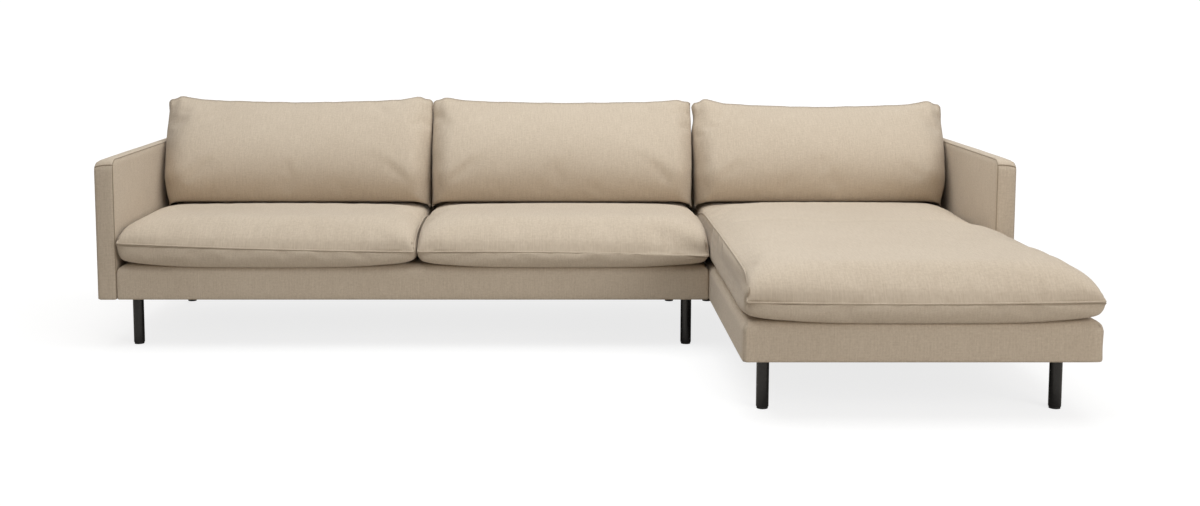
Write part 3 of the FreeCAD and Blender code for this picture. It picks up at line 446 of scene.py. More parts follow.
def rounded_outline(a, b, size, radii):
    """Press a rectangle's corners round: low-low, high-low, high-high and low-high."""
    width, height = size
    for corner_a, corner_b, radius in zip((0, width, width, 0), (0, 0, height, height), radii):
        share_a = (radius - np.abs(a - corner_a)) / radius
        share_b = (radius - np.abs(b - corner_b)) / radius
        inside, keep = rounded_turn(share_a, share_b)
        sign_a, sign_b = (1 if corner_a == 0 else -1), (1 if corner_b == 0 else -1)
        a = np.where(inside, corner_a + sign_a * (radius - radius * share_a * keep), a)
        b = np.where(inside, corner_b + sign_b * (radius - radius * share_b * keep), b)
    return a, b


def inset(a, b, size, radii):
    """How far inside the rounded outline points lie, and which way leads inwards."""
    width, height = size
    left, low = a < width / 2, b < height / 2
    radius = np.where(left & low, radii[0], np.where(~left & low, radii[1], np.where(~left, radii[2], radii[3])))
    da = np.minimum(a, width - a)
    db = np.minimum(b, height - b)
    ra, rb = radius - da, radius - db
    corner = (ra > 0) & (rb > 0)
    length = np.hypot(ra, rb)
    depth = np.where(corner, radius - length, np.minimum(da, db))
    safe = np.where(length > 1e-9, length, 1)
    way_a = np.where(corner, ra / safe, (da <= db).astype(float)) * np.where(left, 1, -1)
    way_b = np.where(corner, rb / safe, (db < da).astype(float)) * np.where(low, 1, -1)
    return depth, way_a, way_b


def slab(points, low, size, axes, radii, edges):
    """Press box points round. axes are the outline's two and the one through the slab, edges its two rims."""
    a, b, c = (points[:, axis] - low[axis] for axis in axes)
    flat, thick = (size[axes[0]], size[axes[1]]), size[axes[2]]
    a, b = rounded_outline(a, b, flat, radii)
    for end, radius in enumerate(edges):
        depth, way_a, way_b = inset(a, b, flat, radii)
        depth = np.maximum(depth, 0)
        rim = c if end == 0 else thick - c
        share_in, share_up = (radius - depth) / radius, (radius - rim) / radius
        inside, keep = rounded_turn(share_in, share_up)
        deeper = np.where(inside, radius - radius * share_in * keep - depth, 0)
        a, b = a + way_a * deeper, b + way_b * deeper
        rim = np.where(inside, radius - radius * share_up * keep, rim)
        c = rim if end == 0 else thick - rim
    out = np.empty_like(points)
    for axis, values in zip(axes, (a, b, c)):
        out[:, axis] = values + low[axis]
    return out


def swollen(points, low, size, amount, ripples, seed):
    """Let the faces of a padded box swell a little between its edges, with slight ripples."""
    wave = ripple(points, seed)
    spread = (points - (low + size / 2)) / (size / 2)
    for axis in range(3):
        others = [k for k in range(3) if k != axis]
        room = np.prod([np.clip(1 - spread[:, k] ** 4, 0, 1) for k in others], axis=0)
        face = smooth(np.abs(spread[:, axis]), 0.9, 1.0)
        points[:, axis] += np.sign(spread[:, axis]) * face * room * (amount + ripples * wave)
    return points


print("slab helpers ready")

# %% [markdown]
# ## Sewn seams
#
# Where two cloths meet, their edges are folded under and sewn, which leaves a low ridge beside a shaded
# line. A painted groove would vanish from the side, so a seam is a thin tube of the same cloth along its
# path, half sunk in the cover. The tube is darkened by painted shade, which stands in for the shadow in the
# seam.


# %% A tube of cloth along a path
TUBE_SIDES = 6
STITCH, STITCH_PULL = 0.008, 0.10


def seam_tube(name, path, radius, body, painted_shade=1.0, closed=False):
    """A thin sewn ridge of cloth that follows a path and moves with a body, darkened by painted shade."""
    count = len(path)
    if closed:
        way = np.roll(path, -1, axis=0) - np.roll(path, 1, axis=0)
    else:
        way = np.vstack([path[1:], path[-1:]]) - np.vstack([path[:1], path[:-1]])
    way /= np.maximum(np.linalg.norm(way, axis=1, keepdims=True), 1e-9)
    up = np.tile(np.array([0.0, 0.0, 1.0]), (count, 1))
    up[np.abs(way[:, 2]) > 0.8] = (0.0, 1.0, 0.0)
    side = np.cross(way, up)
    side /= np.linalg.norm(side, axis=1, keepdims=True)
    over = np.cross(side, way)
    run = run_of(path)
    width = radius * 2 * math.pi / TUBE_SIDES
    points, faces, cloth = [], [], []
    for k in range(count):
        pull = radius * (1 + STITCH_PULL * math.sin(run[k] * 2 * math.pi / STITCH))
        for s in range(TUBE_SIDES):
            angle = 2 * math.pi * s / TUBE_SIDES
            points.append(path[k] + pull * (math.cos(angle) * side[k] + math.sin(angle) * over[k]))
    for k in range(count if closed else count - 1):
        here, ahead = k * TUBE_SIDES, (k + 1) % count * TUBE_SIDES
        for s in range(TUBE_SIDES):
            t = (s + 1) % TUBE_SIDES
            faces.append((here + s, here + t, ahead + t, ahead + s))
            for row, rim in ((k, s), (k, s + 1), (k + 1, s + 1), (k + 1, s)):
                cloth.append((rim * width, run[min(row, count - 1)]))
    # Each point of the tube carries the same amount of painted shade for the cloth finish.
    piece = made_piece(name, points, faces, cloth, np.full(len(points), painted_shade))
    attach(piece, body)


def even(path, pitch=0.004):
    """The same path with its points an even pitch apart."""
    path = np.array(path, dtype=float)
    length = run_of(path)[-1]
    return placed_along(path, np.linspace(0, length, max(2, int(length / pitch))))


print("seams ready")

# %% [markdown]
# ## The arms
#
# Each arm is a slim upright panel with a rounded nose. A cap of cloth runs over its top and down the nose
# to a seam across the front, and seams follow its long edges. The pressing that shapes the slab also
# carries the seams' paths, so that they lie on it exactly.


# %% A padded cover for a solid
RIM_ROWS = (0.3, 0.65, 1.0)
OPEN_RIM, FACING = 0.012, 1e-5

# The outline's two axes and the one through it, radii of corners and rims, pitch, swell and ripples.
ARM = ((1, 2, 0), (0.006, 0.006, 0.014, 0.036), (0.010, 0.010), (0.013, 0.02, 0.02), (0.0012, 0.0012))
BACK = ((1, 2, 0), (0.004, 0.006, 0.02, 0.02), (0.005, 0.005), (0.03, 0.02, 0.02), (0.0015, 0.0015))
SOFA_BASE = ((0, 1, 2), (0.005, 0.007, 0.004, 0.004), (0.006, 0.03), (0.02, 0.02, 0.014), (0.0022, 0.0016))
CHAISE_BASE = ((0, 1, 2), (0.016, 0.016, 0.004, 0.004), (0.006, 0.03), (0.02, 0.02, 0.012), (0.0022, 0.0016))


def padded_cover(part, body, shape, seed, lowered=0.0, keep=None, join=None):
    """A padded cover over a solid's box: pressed round, and swollen a little except at the join."""
    axes, radii, edges, pitch, swell = shape
    low, high = box_of(f"{part}_cover")
    low[2] -= lowered
    size = high - low
    rims = {axes[0]: radii[:2], axes[1]: (radii[0], radii[3]), axes[2]: edges}
    lines = []
    for axis in range(3):
        near = [low[axis] + rims[axis][0] * row for row in RIM_ROWS]
        far = [high[axis] - rims[axis][1] * row for row in RIM_ROWS]
        lines.append(steps(low[axis], high[axis], pitch[axis], (*near, *far)))
    points, faces, cloth = box_skin(lines)
    if keep is not None:
        chosen = keep(points[faces].mean(axis=1), low, high)
        faces, cloth = faces[chosen], cloth.reshape(-1, 4, 2)[chosen].reshape(-1, 2)
    shaped = swollen(slab(points, low, size, axes, radii, edges), low, size, *swell, seed)
    if join == "low":
        shaped[:, 0] = np.maximum(shaped[:, 0], low[0])
    elif join == "high":
        shaped[:, 0] = np.minimum(shaped[:, 0], high[0])
    piece = made_piece(f"{part}_upholstery", shaped, faces, cloth)
    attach(piece, body)
    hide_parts(f"{part}_cover")
    return piece, lambda path: slab(path, low, size, axes, radii, edges)


print("covers can be pressed")


# %% Slim arms with their seams
UNDER, NOSE_SEAM = 0.0006, 0.6225
DOME_DROP, DOME_REACH = 0.012, 0.05


def upholstered_arm(side, body):
    """A slim padded arm: its cover, the seams along its edges and the seam across its nose."""
    piece, pressed = padded_cover(f"{side}_arm", body, ARM, 11, lowered=UNDER)
    low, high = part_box(f"{side}_arm_cover")
    outer, inner = (low[0], high[0]) if side == "left" else (high[0], low[0])

    def domed(points):
        """The wadding is thinner towards the outer top edge, which makes it round."""
        share = np.clip((points[:, 0] - inner) / (outer - inner), 0, 1)
        points[:, 2] -= DOME_DROP * share ** 3 * smooth(points[:, 2], high[2] - DOME_REACH, high[2])
        return points

    reshape(piece, domed)
    front, rear, top, foot = low[1], high[1], high[2], low[2]
    # The last value for each seam is how much painted shade darkens its tube.
    for part, corners, radius, painted_shade in (
        ("inner", [(inner, rear, top), (inner, front, top), (inner, front, foot)], 0.0019, 1.0),
        ("outer", [(outer, rear, foot), (outer, rear, top), (outer, front, top), (outer, front, foot)], 0.0015, 0.5),
        ("nose", [(outer, front, NOSE_SEAM), (inner, front, NOSE_SEAM)], 0.0024, 1.0),
    ):
        seam_tube(f"{side}_arm_{part}_seam", domed(pressed(even(corners))), radius, body, painted_shade)


upholstered_arm("left", "sofa_section")
upholstered_arm("right", "chaise_section")
print("arms covered")

# %% [markdown]
# ## The backs
#
# Behind the cushions stands a padded back as high as the arms. From behind it is the largest face of the
# sofa, so it is padded and seamed as carefully. Its underside is open, because black dust cloth closes the
# whole section below.


# %% Backs that show from behind
def closed_behind(middles, low, high):
    """All but the underside, which keeps a rim at the rear."""
    return (middles[:, 2] >= low[2] + FACING) | (middles[:, 1] > high[1] - OPEN_RIM)


for section, seed, join in (("sofa", 21, "high"), ("chaise", 22, "low")):
    body = f"{section}_section"
    piece, pressed = padded_cover(f"{section}_back", body, BACK, seed, keep=closed_behind, join=join)
    low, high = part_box(f"{section}_back_cover")
    cap = even([(low[0], high[1], NOSE_SEAM), (high[0], high[1], NOSE_SEAM)])
    # The cap seam's tube gets full painted shade.
    seam_tube(f"{section}_back_cap_seam", pressed(cap), 0.0016, body)
print("backs covered")

# %% [markdown]
# ## The bases
#
# The base has a full, soft top edge over wadding. Under the chaise its two front corners are rounded, the
# cloth gathers there in small upright puckers, and the side steps in beside the right arm: the slab is
# pressed round in plan, then narrowed behind that step.


# %% Bases with soft top edges
PUCKERS, PUCKER_CORNER = 9, 0.01


def gathered(points, corner, height, amount, spread):
    """Small upright puckers that fan out round a corner at a height."""
    away = points[:, :2] - np.array(corner)
    distance = np.hypot(away[:, 0], away[:, 1])
    fade = hump(distance, 0, spread) * hump(points[:, 2], height, spread * 0.8)
    turn = np.arctan2(away[:, 1], away[:, 0])
    pull = amount * fade * np.cos(turn * PUCKERS)
    points[:, 0] += pull * np.cos(turn)
    points[:, 1] += pull * np.sin(turn)
    return points


def closed_in_front(middles, low, high):
    """All but the rear and the underside, which keeps a rim in front and at its ends."""
    rim = (middles[:, 0] < low[0] + OPEN_RIM) | (middles[:, 0] > high[0] - OPEN_RIM)
    rim |= middles[:, 1] < low[1] + OPEN_RIM
    return ((middles[:, 2] >= low[2] + FACING) | rim) & (middles[:, 1] <= high[1] - FACING)


padded_cover("sofa_base", "sofa_section", SOFA_BASE, 31, keep=closed_in_front, join="high")
chaise_base, _ = padded_cover("chaise_base", "chaise_section", CHAISE_BASE, 32, keep=closed_in_front, join="low")
base_low, base_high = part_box("chaise_base_cover")
ARM_INSIDE, ARM_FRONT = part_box("right_arm_cover")[0][:2]


def narrowed(points):
    """The chaise base is narrower beside the arm than in front of it."""
    behind = points[:, 1] > ARM_FRONT - 0.001
    share = (points[:, 0] - base_low[0]) / (base_high[0] - base_low[0])
    points[behind, 0] = base_low[0] + share[behind] * (ARM_INSIDE - base_low[0])
    return points


reshape(chaise_base, narrowed)
for x in (base_low[0] + PUCKER_CORNER, base_high[0] - PUCKER_CORNER):
    corner = (x, base_low[1] + PUCKER_CORNER)
    for height, amount, spread in ((base_high[2] - 0.02, 0.0025, 0.05), (base_low[2] + 0.006, 0.002, 0.025)):
        reshape(chaise_base, lambda points: gathered(points, corner, height, amount, spread))
print("bases covered")

# %% [markdown]
# ## Loose seat cushions
#
# A seat cushion is two panels of cloth sewn together and filled. The upper one falls over the front like a
# waterfall, so its seam lies low there, climbs at the front corners and runs along the sides near the top.
# Both are grids that share the seam as their border, with rows close together near it, where the cloth
# turns. At the seam the corners stay pointed, and they are rounder above and below it.


# %% Two panels that share a seam
TURN_ROWS = 9


def turn_rows(length, first, last, pitch):
    """Places across a panel: close together in its rounded borders, wider between."""
    turn = 1 - np.cos(np.linspace(0, math.pi / 2, TURN_ROWS + 1))
    near, far = first * turn, length - last * turn[::-1]
    middle = np.linspace(near[-1], far[0], max(2, round((far[0] - near[-1]) / pitch)) + 1)
    return np.concatenate([near[:-1], middle, far[1:]])


def full(distance, reach, power):
    """How far a filled panel has risen at a distance from its seam, from nought to one."""
    t = np.clip(1 - distance / reach, 0, 1)
    return (1 - t ** power) ** (1 / power)


def even_share(distance, reach):
    """Nought at the seam and one at the reach, in even steps from row to row of turn_rows."""
    return np.arccos(1 - np.clip(distance / reach, 0, 1)) / (math.pi / 2)


def two_panels(name, panels, cloths, seams):
    """One closed skin from two grids of points that are equal along their borders."""
    nu, nv = panels[0].shape[:2]
    inner = np.zeros((nu, nv), bool)
    inner[1:-1, 1:-1] = True
    number = np.arange(nu * nv).reshape(nu, nv)
    other = number.copy()
    other[inner] = nu * nv + np.arange(inner.sum())
    points = np.vstack([panels[0].reshape(-1, 3), panels[1][inner]])
    # The seams hold how much painted shade each panel's points get near the seam.
    depth = np.concatenate([seams[0].reshape(-1), seams[1][inner]])
    faces, cloth = [], []
    corners = [(0, 0), (1, 0), (1, 1), (0, 1)]
    for grid, places in zip((number, other), cloths):
        cells = [(slice(a, nu - 1 + a), slice(b, nv - 1 + b)) for a, b in corners]
        faces.append(np.stack([grid[cell].reshape(-1) for cell in cells], axis=1))
        cloth.append(np.stack([places[cell].reshape(-1, 2) for cell in cells], axis=1).reshape(-1, 2))
        corners.reverse()
    piece = made_piece(name, points, np.vstack(faces), np.vstack(cloth), depth)
    loop = [*number[:, 0], *number[-1, 1:], *number[-2::-1, -1], *number[0, -2:0:-1]]
    return piece, [int(i) for i in loop]


print("panels can be joined")

# %% [markdown]
# The three differ a little, as stuffed things do. The seams' heights above the platform stand in a table,
# and the lower panel's turn from seam to underside in another. In front the underside hangs over the soft
# edge of the base in the middle and lifts towards its ends.

# %% Seat cushion tables
SEAT_SEAMS = {
    "seat_cushion_left": {
        "front": (0.077, 0.057, 0.049), "sides": (0.116, 0.108), "climb": (0.05, 0.07), "drawn": (0.008, 0.004),
    },
    "seat_cushion_middle": {
        "front": (0.049, 0.046, 0.034), "sides": (0.108, 0.110), "climb": (0.07, 0.06), "drawn": (0.004, 0.006),
    },
    "chaise_cushion": {
        "front": (0.056, 0.050, 0.058), "sides": (0.119, 0.102), "climb": (0.045, 0.10), "drawn": (0.017, 0.010),
    },
}
SEAT_PITCH = 0.02
SIDE_FALL, FRONT_FALL, REAR_FALL = 0.088, 0.23, 0.07
BAND_SHARE = (0.0, 0.15, 0.35, 0.55, 0.72, 0.86, 1.0)
BAND_HEIGHT = (1.0, 0.86, 0.62, 0.33, 0.12, 0.02, 0.0)
BAND_INWARD = (0.0, 0.001, 0.0, 0.001, 0.006, 0.015, 0.030)
SHARP_CORNER, ROUND_CORNER = 0.004, 0.030
REAR_DROP, FRONT_DRAWN, BOW = 0.032, 0.006, 0.005
CROWN_DROP, CROWN_FRONT, CROWN_SIDES = 0.007, 0.005, 0.005
print(len(SEAT_SEAMS), "seat cushions")


# %% Both panels of a seat cushion
def between(pair, share):
    """What lies at a share of the way from the first of a pair to the second."""
    return pair[0] * (1 - share) + pair[1] * share


def seat_seam(seams, t, v, depth):
    """Height of the seam at each place, as if it belonged to its nearest border, and the side's climb."""
    first, middle, last = seams["front"]
    front = first * (1 - t) * (1 - 2 * t) + middle * 4 * t * (1 - t) + last * t * (2 * t - 1)
    climb = 1 - np.exp(-v / between(seams["climb"], t))
    drop = REAR_DROP * smooth(v, depth - 0.42, depth - 0.12)
    return front + (between(seams["sides"], t) - front) * climb - drop, climb


def rounder_off_seam(panel, seam_z, size):
    """Round the corners of a panel in plan, more the further above or below the seam."""
    radius = SHARP_CORNER + ROUND_CORNER * (1 - hump(panel[..., 2], seam_z, 0.02))
    x, y = rounded_outline(panel[..., 0], panel[..., 1], size, (radius,) * 4)
    return np.stack([x, y, panel[..., 2]], axis=-1)


def seat_cushion(name, right_side=None):
    """A seat cushion's skin from its solid's box. right_side gives the right side's x for each y."""
    low, high = box_of(f"{name}_case")
    width, depth, height = high - low
    u, v = np.meshgrid(turn_rows(width, SIDE_FALL, SIDE_FALL, SEAT_PITCH),
                       turn_rows(depth, FRONT_FALL, REAR_FALL, SEAT_PITCH), indexing="ij")
    gap, rear, t = np.minimum(u, width - u), depth - v, u / width
    inwards = np.where(t < 0.5, 1.0, -1.0)
    seam_z, climb = seat_seam(SEAT_SEAMS[name], t, v, depth)
    drawn = between(SEAT_SEAMS[name]["drawn"], t) * (climb + 0.25 * 4 * (v / depth) * (1 - v / depth))
    drawn = FRONT_DRAWN * (1 - climb) + drawn
    bowed = BOW * 4 * t * (1 - t)

    rise = full(gap, SIDE_FALL, 2.2) * full(v, FRONT_FALL, 2.15) * full(rear, REAR_FALL, 2.2)
    crown = height - CROWN_DROP - CROWN_FRONT * smooth(v, 0.32, 0.50) - CROWN_SIDES * (2 * t - 1) ** 2
    if right_side is not None:
        fold = 0.87 + 0.02 * np.sin(u * 9) + 0.012 * np.sin(u * 23 + 1)
        crown -= 0.009 * hump(v, fold, 0.05) * smooth(gap, 0.03, 0.2)
        crown -= 0.005 * hump(v, 0.62, 0.11) * smooth(gap, 0.10, 0.3)
    x = u + inwards * drawn * (1 - np.clip(gap / SIDE_FALL, 0, 1))
    y = v + bowed * np.exp(-v / 0.05)
    upper = np.stack([x, y, seam_z + (crown - seam_z) * rise ** 0.85], axis=-1)

    shares = even_share(gap, SIDE_FALL), even_share(v, FRONT_FALL), even_share(rear, REAR_FALL)
    side_t, front_t, rear_t = shares
    down = np.minimum.reduce(shares)
    from_side, from_front, from_rear = (np.interp(share, BAND_SHARE, BAND_INWARD) for share in shares)
    from_side += drawn * (1 - smooth(side_t, 0.0, 0.3))
    from_front += bowed * (1 - front_t) - 0.003 * np.sin(front_t * math.pi)
    end = BAND_INWARD[-1]
    x = np.where(side_t < 1, np.where(t < 0.5, from_side, width - from_side),
                 np.interp(u, [SIDE_FALL, width - SIDE_FALL], [end, width - end]))
    y = np.interp(v, [FRONT_FALL, depth - REAR_FALL], [end, depth - end])
    y = np.where(front_t < 1, from_front, np.where(rear_t < 1, depth - from_rear, y))
    hang = -0.010 + 0.032 * np.abs(2 * x / width - 1) ** 4
    over_edge = hump(y, 0.022, 0.018) * smooth(down, 0.35, 0.85)
    under = np.where(hang < 0, hang * over_edge, hang * hump(y, 0, 0.09))
    lower = np.stack([x, y, under + (seam_z - under) * np.interp(down, BAND_SHARE, BAND_HEIGHT)], axis=-1)

    edge = np.minimum.reduce((gap, v, rear))
    lower[edge < 1e-9] = upper[edge < 1e-9]
    panels = [rounder_off_seam(panel, seam_z, (width, depth)) for panel in (upper, lower)]
    for panel in panels:
        if right_side is not None:
            panel[..., 0] *= (right_side(panel[..., 1] + low[1]) - low[0]) / width
        panel += low
    # Painted shade along the seam: faint on the upper panel and full on the lower one, for the shadow under the welt.
    close = hump(edge, 0, 0.008)
    cloth = np.stack([u, v], axis=-1)
    return two_panels(f"{name}_pillow", panels, (cloth, cloth + 5), (close * 0.25, close))


print("seat panels ready")

# %% [markdown]
# ## Loose back cushions
#
# A back cushion leans: its section is a wedge that stands on the seat, is fullest low in front, rests
# against the back and comes to a knife edge on top. Two panels meet in a seam up the sides and along that
# edge. Near the top corners it stands up in little ears with a dent beside them, where the filling doesn't
# reach, and the lower corners sink between the seat cushions. Each panel is a row of sections that shrink
# on to the seam towards the sides.


# %% Back cushion tables
BACK_SHAPES = {
    "back_cushion_left": {
        "middle": 0.3500, "ears": (0.95, 0.86), "corners": (0.022, 0.003), "turns": (0.115, 0.080),
        "inset": (0.0, 0.0), "slit": 0.0, "seeds": (51, 52),
    },
    "back_cushion_middle": {
        "middle": 0.3475, "ears": (0.82, 0.46), "corners": (0.003, 0.004), "turns": (0.080, 0.080),
        "inset": (0.0, 0.0024), "slit": 0.0, "seeds": (52, 53),
    },
    "back_cushion_right": {
        "middle": 0.3320, "ears": (1.22, 0.88), "corners": (0.004, 0.024), "turns": (0.080, 0.120),
        "inset": (0.0024, 0.0), "slit": 0.006, "seeds": (53, 54),
    },
}
EAR_GAP = (0.0, 0.006, 0.014, 0.026, 0.038, 0.046, 0.064, 0.083, 0.121, 0.20, 0.31, 0.46)
EAR_LIFT = (0.0, 0.0110, 0.0150, 0.0110, 0.0225, 0.0270, 0.0245, 0.0190, 0.0115, 0.0070, 0.0035, 0.0)
RIDGE_Y, FOOT_Y = 0.232, 0.10
FOOT_Z, RIDGE_LIFT = -0.004, 0.014
SECTION_ROWS, BACK_FALL, BACK_PITCH_ACROSS = 40, 0.085, 0.018
SLIM_TURN, TOP_WAVER, SIDE_WAVER = 0.024, 0.0015, 0.0013
print(len(BACK_SHAPES), "back cushions")


# %% Sections that shrink on to a seam
def eased_line(corners, shares):
    """Points at given shares of the length of a line that is eased through its corners."""
    line = np.array(corners, dtype=float)
    for _ in range(3):
        cut = [line[0]]
        for a, b in zip(line[:-1], line[1:]):
            cut += [a * 0.75 + b * 0.25, a * 0.25 + b * 0.75]
        line = np.array(cut + [line[-1]])
    return placed_along(line, shares * run_of(line)[-1])


def arc(start, end, rise):
    """Points of an arc between two points that swells by a rise to the left of the way."""
    start, end = np.array(start), np.array(end)
    run = end - start
    left = np.array([-run[1], run[0]]) / np.linalg.norm(run)
    return [start + run * t + left * rise * 4 * t * (1 - t) for t in np.linspace(0, 1, 9)]


def uneven_edge(places, seed, most):
    """A sewn edge is never straight: a small repeatable waver along it."""
    maker = np.random.default_rng(seed)
    waves = [np.sin(places * 2 * math.pi / size + maker.uniform(0, 6.3)) for size in (0.05, 0.08, 0.14)]
    return most * sum(waves) / 3


def back_cushion(name):
    """A back cushion's skin from its solid's box and its row in the table."""
    low, high = box_of(f"{name}_case")
    width = high[0] - low[0]
    shape = BACK_SHAPES[name]
    first, second = shape["seeds"]
    foot, ridge = (FOOT_Y, FOOT_Z), (RIDGE_Y, shape["middle"])
    shares = np.linspace(0, 1, SECTION_ROWS)
    front = [foot, (0.075, -0.008), (0.040, 0.004), (0.012, 0.050), *arc((0.001, 0.105), ridge, 0.036)]
    rear = [foot, (0.24, -0.004), (0.292, 0.002), (0.2995, 0.04), (0.2985, 0.20), *arc((0.292, 0.235), ridge, -0.012)]
    u, s = np.meshgrid(turn_rows(width, BACK_FALL, BACK_FALL, BACK_PITCH_ACROSS), shares, indexing="ij")
    gap = np.minimum(u, width - u)
    leftward = u < width / 2

    def by_side(pair):
        """The first of a pair on the left half, the second on the right."""
        return np.where(leftward, *pair)

    side_full = full(gap, SLIM_TURN + (by_side(shape["turns"]) - SLIM_TURN) * smooth(s, 0.0, 0.25), 2.2)
    seam_y = np.interp(s, [0, 0.15, 0.4, 1], [FOOT_Y, 0.160, 0.208, RIDGE_Y])
    seam_z = FOOT_Z + (shape["middle"] - FOOT_Z) * s ** 1.15 - RIDGE_LIFT * np.clip(1 - s / 0.12, 0, 1) ** 2
    ear = by_side(shape["ears"]) * np.interp(gap, EAR_GAP, EAR_LIFT) + uneven_edge(u, first + 7, TOP_WAVER)
    drawn = by_side(shape["corners"]) * (1 - smooth(seam_z, 0.0, 0.08)) + by_side(shape["inset"])
    drawn += by_side((shape["slit"], 0.0)) * hump(seam_z, 0.288, 0.028)
    waver = by_side((-uneven_edge(seam_z, first, SIDE_WAVER), uneven_edge(seam_z, second, SIDE_WAVER)))
    near = np.clip(1 - gap / 0.14, 0, 1) ** 1.5
    x = u + by_side((1.0, -1.0)) * (drawn - waver) * near
    panels = []
    for corners in (front, rear):
        section = eased_line(corners, shares)
        y = seam_y + side_full * (section[:, 0] - seam_y)
        z = seam_z + side_full * (section[:, 1] - seam_z) + ear * smooth(s, 0.72, 1.0)
        z = z - 0.013 * hump(gap, 0, 0.03) * (1 - smooth(s, 0.10, 0.30)) * (y < 0.16)
        panels.append(np.stack([x, y, z], axis=-1) + low)
    # Painted shade along the side and top seams of both panels.
    close = hump(gap, 0, 0.005) + hump((1 - s) * 0.55, 0, 0.005)
    cloth = np.stack([u, s * 0.6], axis=-1)
    return two_panels(f"{name}_pillow", panels, (cloth, cloth + 7), (close * 0.5, close * 0.5))


print("back panels ready")

# %% [markdown]
# ## Filling the cushions
#
# Blender's cloth can do what the fibre filling does: the skin gets a light pressure and slightly more cloth
# than it needs, the seams and the sides that rest on something are held, and after twenty frames it has
# swollen between them. No point moves more than 24 mm, and none leaves the room between a cushion's
# neighbours: there it presses flat. The result is written to the mesh and the simulation is taken off.


# %% Pressure in a sewn skin
FRAMES = 20
MOST_SWELL = 0.024


def ready_to_fill(piece, held, slack):
    """Give a skin its cloth settings, hold the points of a mask and cut it larger by a share."""
    group = piece.vertex_groups.new(name="held")
    group.add(np.flatnonzero(held).tolist(), 1.0, "REPLACE")
    cloth = piece.modifiers.new("filling", "CLOTH")
    springs = {
        "quality": 5, "mass": 0.25, "air_damping": 2.0, "tension_stiffness": 22, "compression_stiffness": 22,
        "shear_stiffness": 12, "bending_stiffness": 2.5, "use_pressure": True, "uniform_pressure_force": 4.0,
        "shrink_min": -slack, "vertex_group_mass": "held", "pin_stiffness": 1.0,
    }
    for key, value in springs.items():
        setattr(cloth.settings, key, value)
    cloth.settings.effector_weights.gravity = 0.0
    cloth.collision_settings.use_collision = False
    cloth.point_cache.frame_start, cloth.point_cache.frame_end = 1, FRAMES


def fill_all(skins):
    """Run the filling of all the skins at once and write it to their meshes."""
    for step in range(1, FRAMES + 1):
        scene.frame_set(step)
    view = bpy.context.evaluated_depsgraph_get()
    for piece, (room_low, room_high) in skins:
        start = points_of(piece.data)
        moved = points_of(piece.evaluated_get(view).data) - start
        reach = np.linalg.norm(moved, axis=1, keepdims=True)
        print(f"{piece.name} swells {reach.mean() * 1000:.1f} mm on average, {reach.max() * 1000:.0f} at most")
        moved *= MOST_SWELL * np.tanh(reach / MOST_SWELL) / np.maximum(reach, 1e-9)
        kept = np.clip(start + moved, np.minimum(room_low, start), np.maximum(room_high, start))
        piece.data.vertices.foreach_set("co", kept.astype(np.float32).reshape(-1))
    for piece, _ in skins:
        piece.modifiers.clear()
        piece.vertex_groups.clear()
        piece.data.update()
    scene.frame_set(1)


print("filling ready")


# %% Cut and fill the six cushions
SIDE_PLAY, GRIP = 0.0005, 0.004
SEAT_ROOM = {"front": 0.006, "top": 0.006, "held_rear": 0.27, "slack": 0.009}
BACK_ROOM = {"front": 0.020, "top": 0.003, "held_rear": 0.004, "slack": 0.003}


def beside_arm(y):
    """Right side of the chaise cushion: full width in front of the arm, narrower beside it."""
    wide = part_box("chaise_cushion_case")[1][0]
    return wide - (wide - ARM_INSIDE + 0.004) * smooth(y, ARM_FRONT - 0.05, ARM_FRONT + 0.012)


cushions = {name: seat_cushion(name, beside_arm if name == "chaise_cushion" else None) for name in SEAT_SEAMS}
cushions.update({name: back_cushion(name) for name in BACK_SHAPES})
skins = []
for name, (piece, loop) in cushions.items():
    room = BACK_ROOM if name in BACK_SHAPES else SEAT_ROOM
    low, high = box_of(f"{name}_case")
    points = points_of(piece.data)
    held = (points[:, 2] < low[2] + GRIP) | (points[:, 1] > high[1] - room["held_rear"])
    held[loop] = True
    ready_to_fill(piece, held, room["slack"])
    skins.append((piece, (low - (SIDE_PLAY, room["front"], 0.0), high + (SIDE_PLAY, 0.0, room["top"]))))
fill_all(skins)


# %% Smooth each skin once and sew its welt
WELT_PITCH, WELT_CREASE = 0.005, 0.75


def sewn_and_smoothed(name, piece, loop, radius, painted_shade):
    """Smooth a skin with a crease on its seam, let it stand for its solid, and add the welt."""
    ends = np.empty(len(piece.data.edges) * 2, np.int32)
    piece.data.edges.foreach_get("vertices", ends)
    on_loop = np.isin(ends.reshape(-1, 2), loop).all(axis=1)
    crease = piece.data.attributes.new("crease_edge", "FLOAT", "EDGE")
    crease.data.foreach_set("value", (on_loop * WELT_CREASE).astype(np.float32))
    rounder = piece.modifiers.new("smoothing", "SUBSURF")
    rounder.levels = rounder.render_levels = 1
    view = bpy.context.evaluated_depsgraph_get()
    smoothed = bpy.data.meshes.new_from_object(piece.evaluated_get(view), depsgraph=view)
    piece.modifiers.clear()
    piece.data = smoothed
    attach(piece, name)
    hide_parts(f"{name}_case")
    points = points_of(smoothed)
    welt = even(points[[*loop, loop[0]]], WELT_PITCH)[:-1]
    seam_tube(f"{name}_welt", welt, radius, name, painted_shade, closed=True)
    print(name, len(smoothed.polygons), "faces", points.min(axis=0).round(4), points.max(axis=0).round(4))


for name, (piece, loop) in cushions.items():
    # Each welt's second value is how much painted shade darkens it: little on the seat welts' pale ridges, more on
    # the backs.
    radius, painted_shade = (0.0015, 0.6) if name in BACK_SHAPES else (0.0030, 0.25)
    sewn_and_smoothed(name, piece, loop, radius, painted_shade)

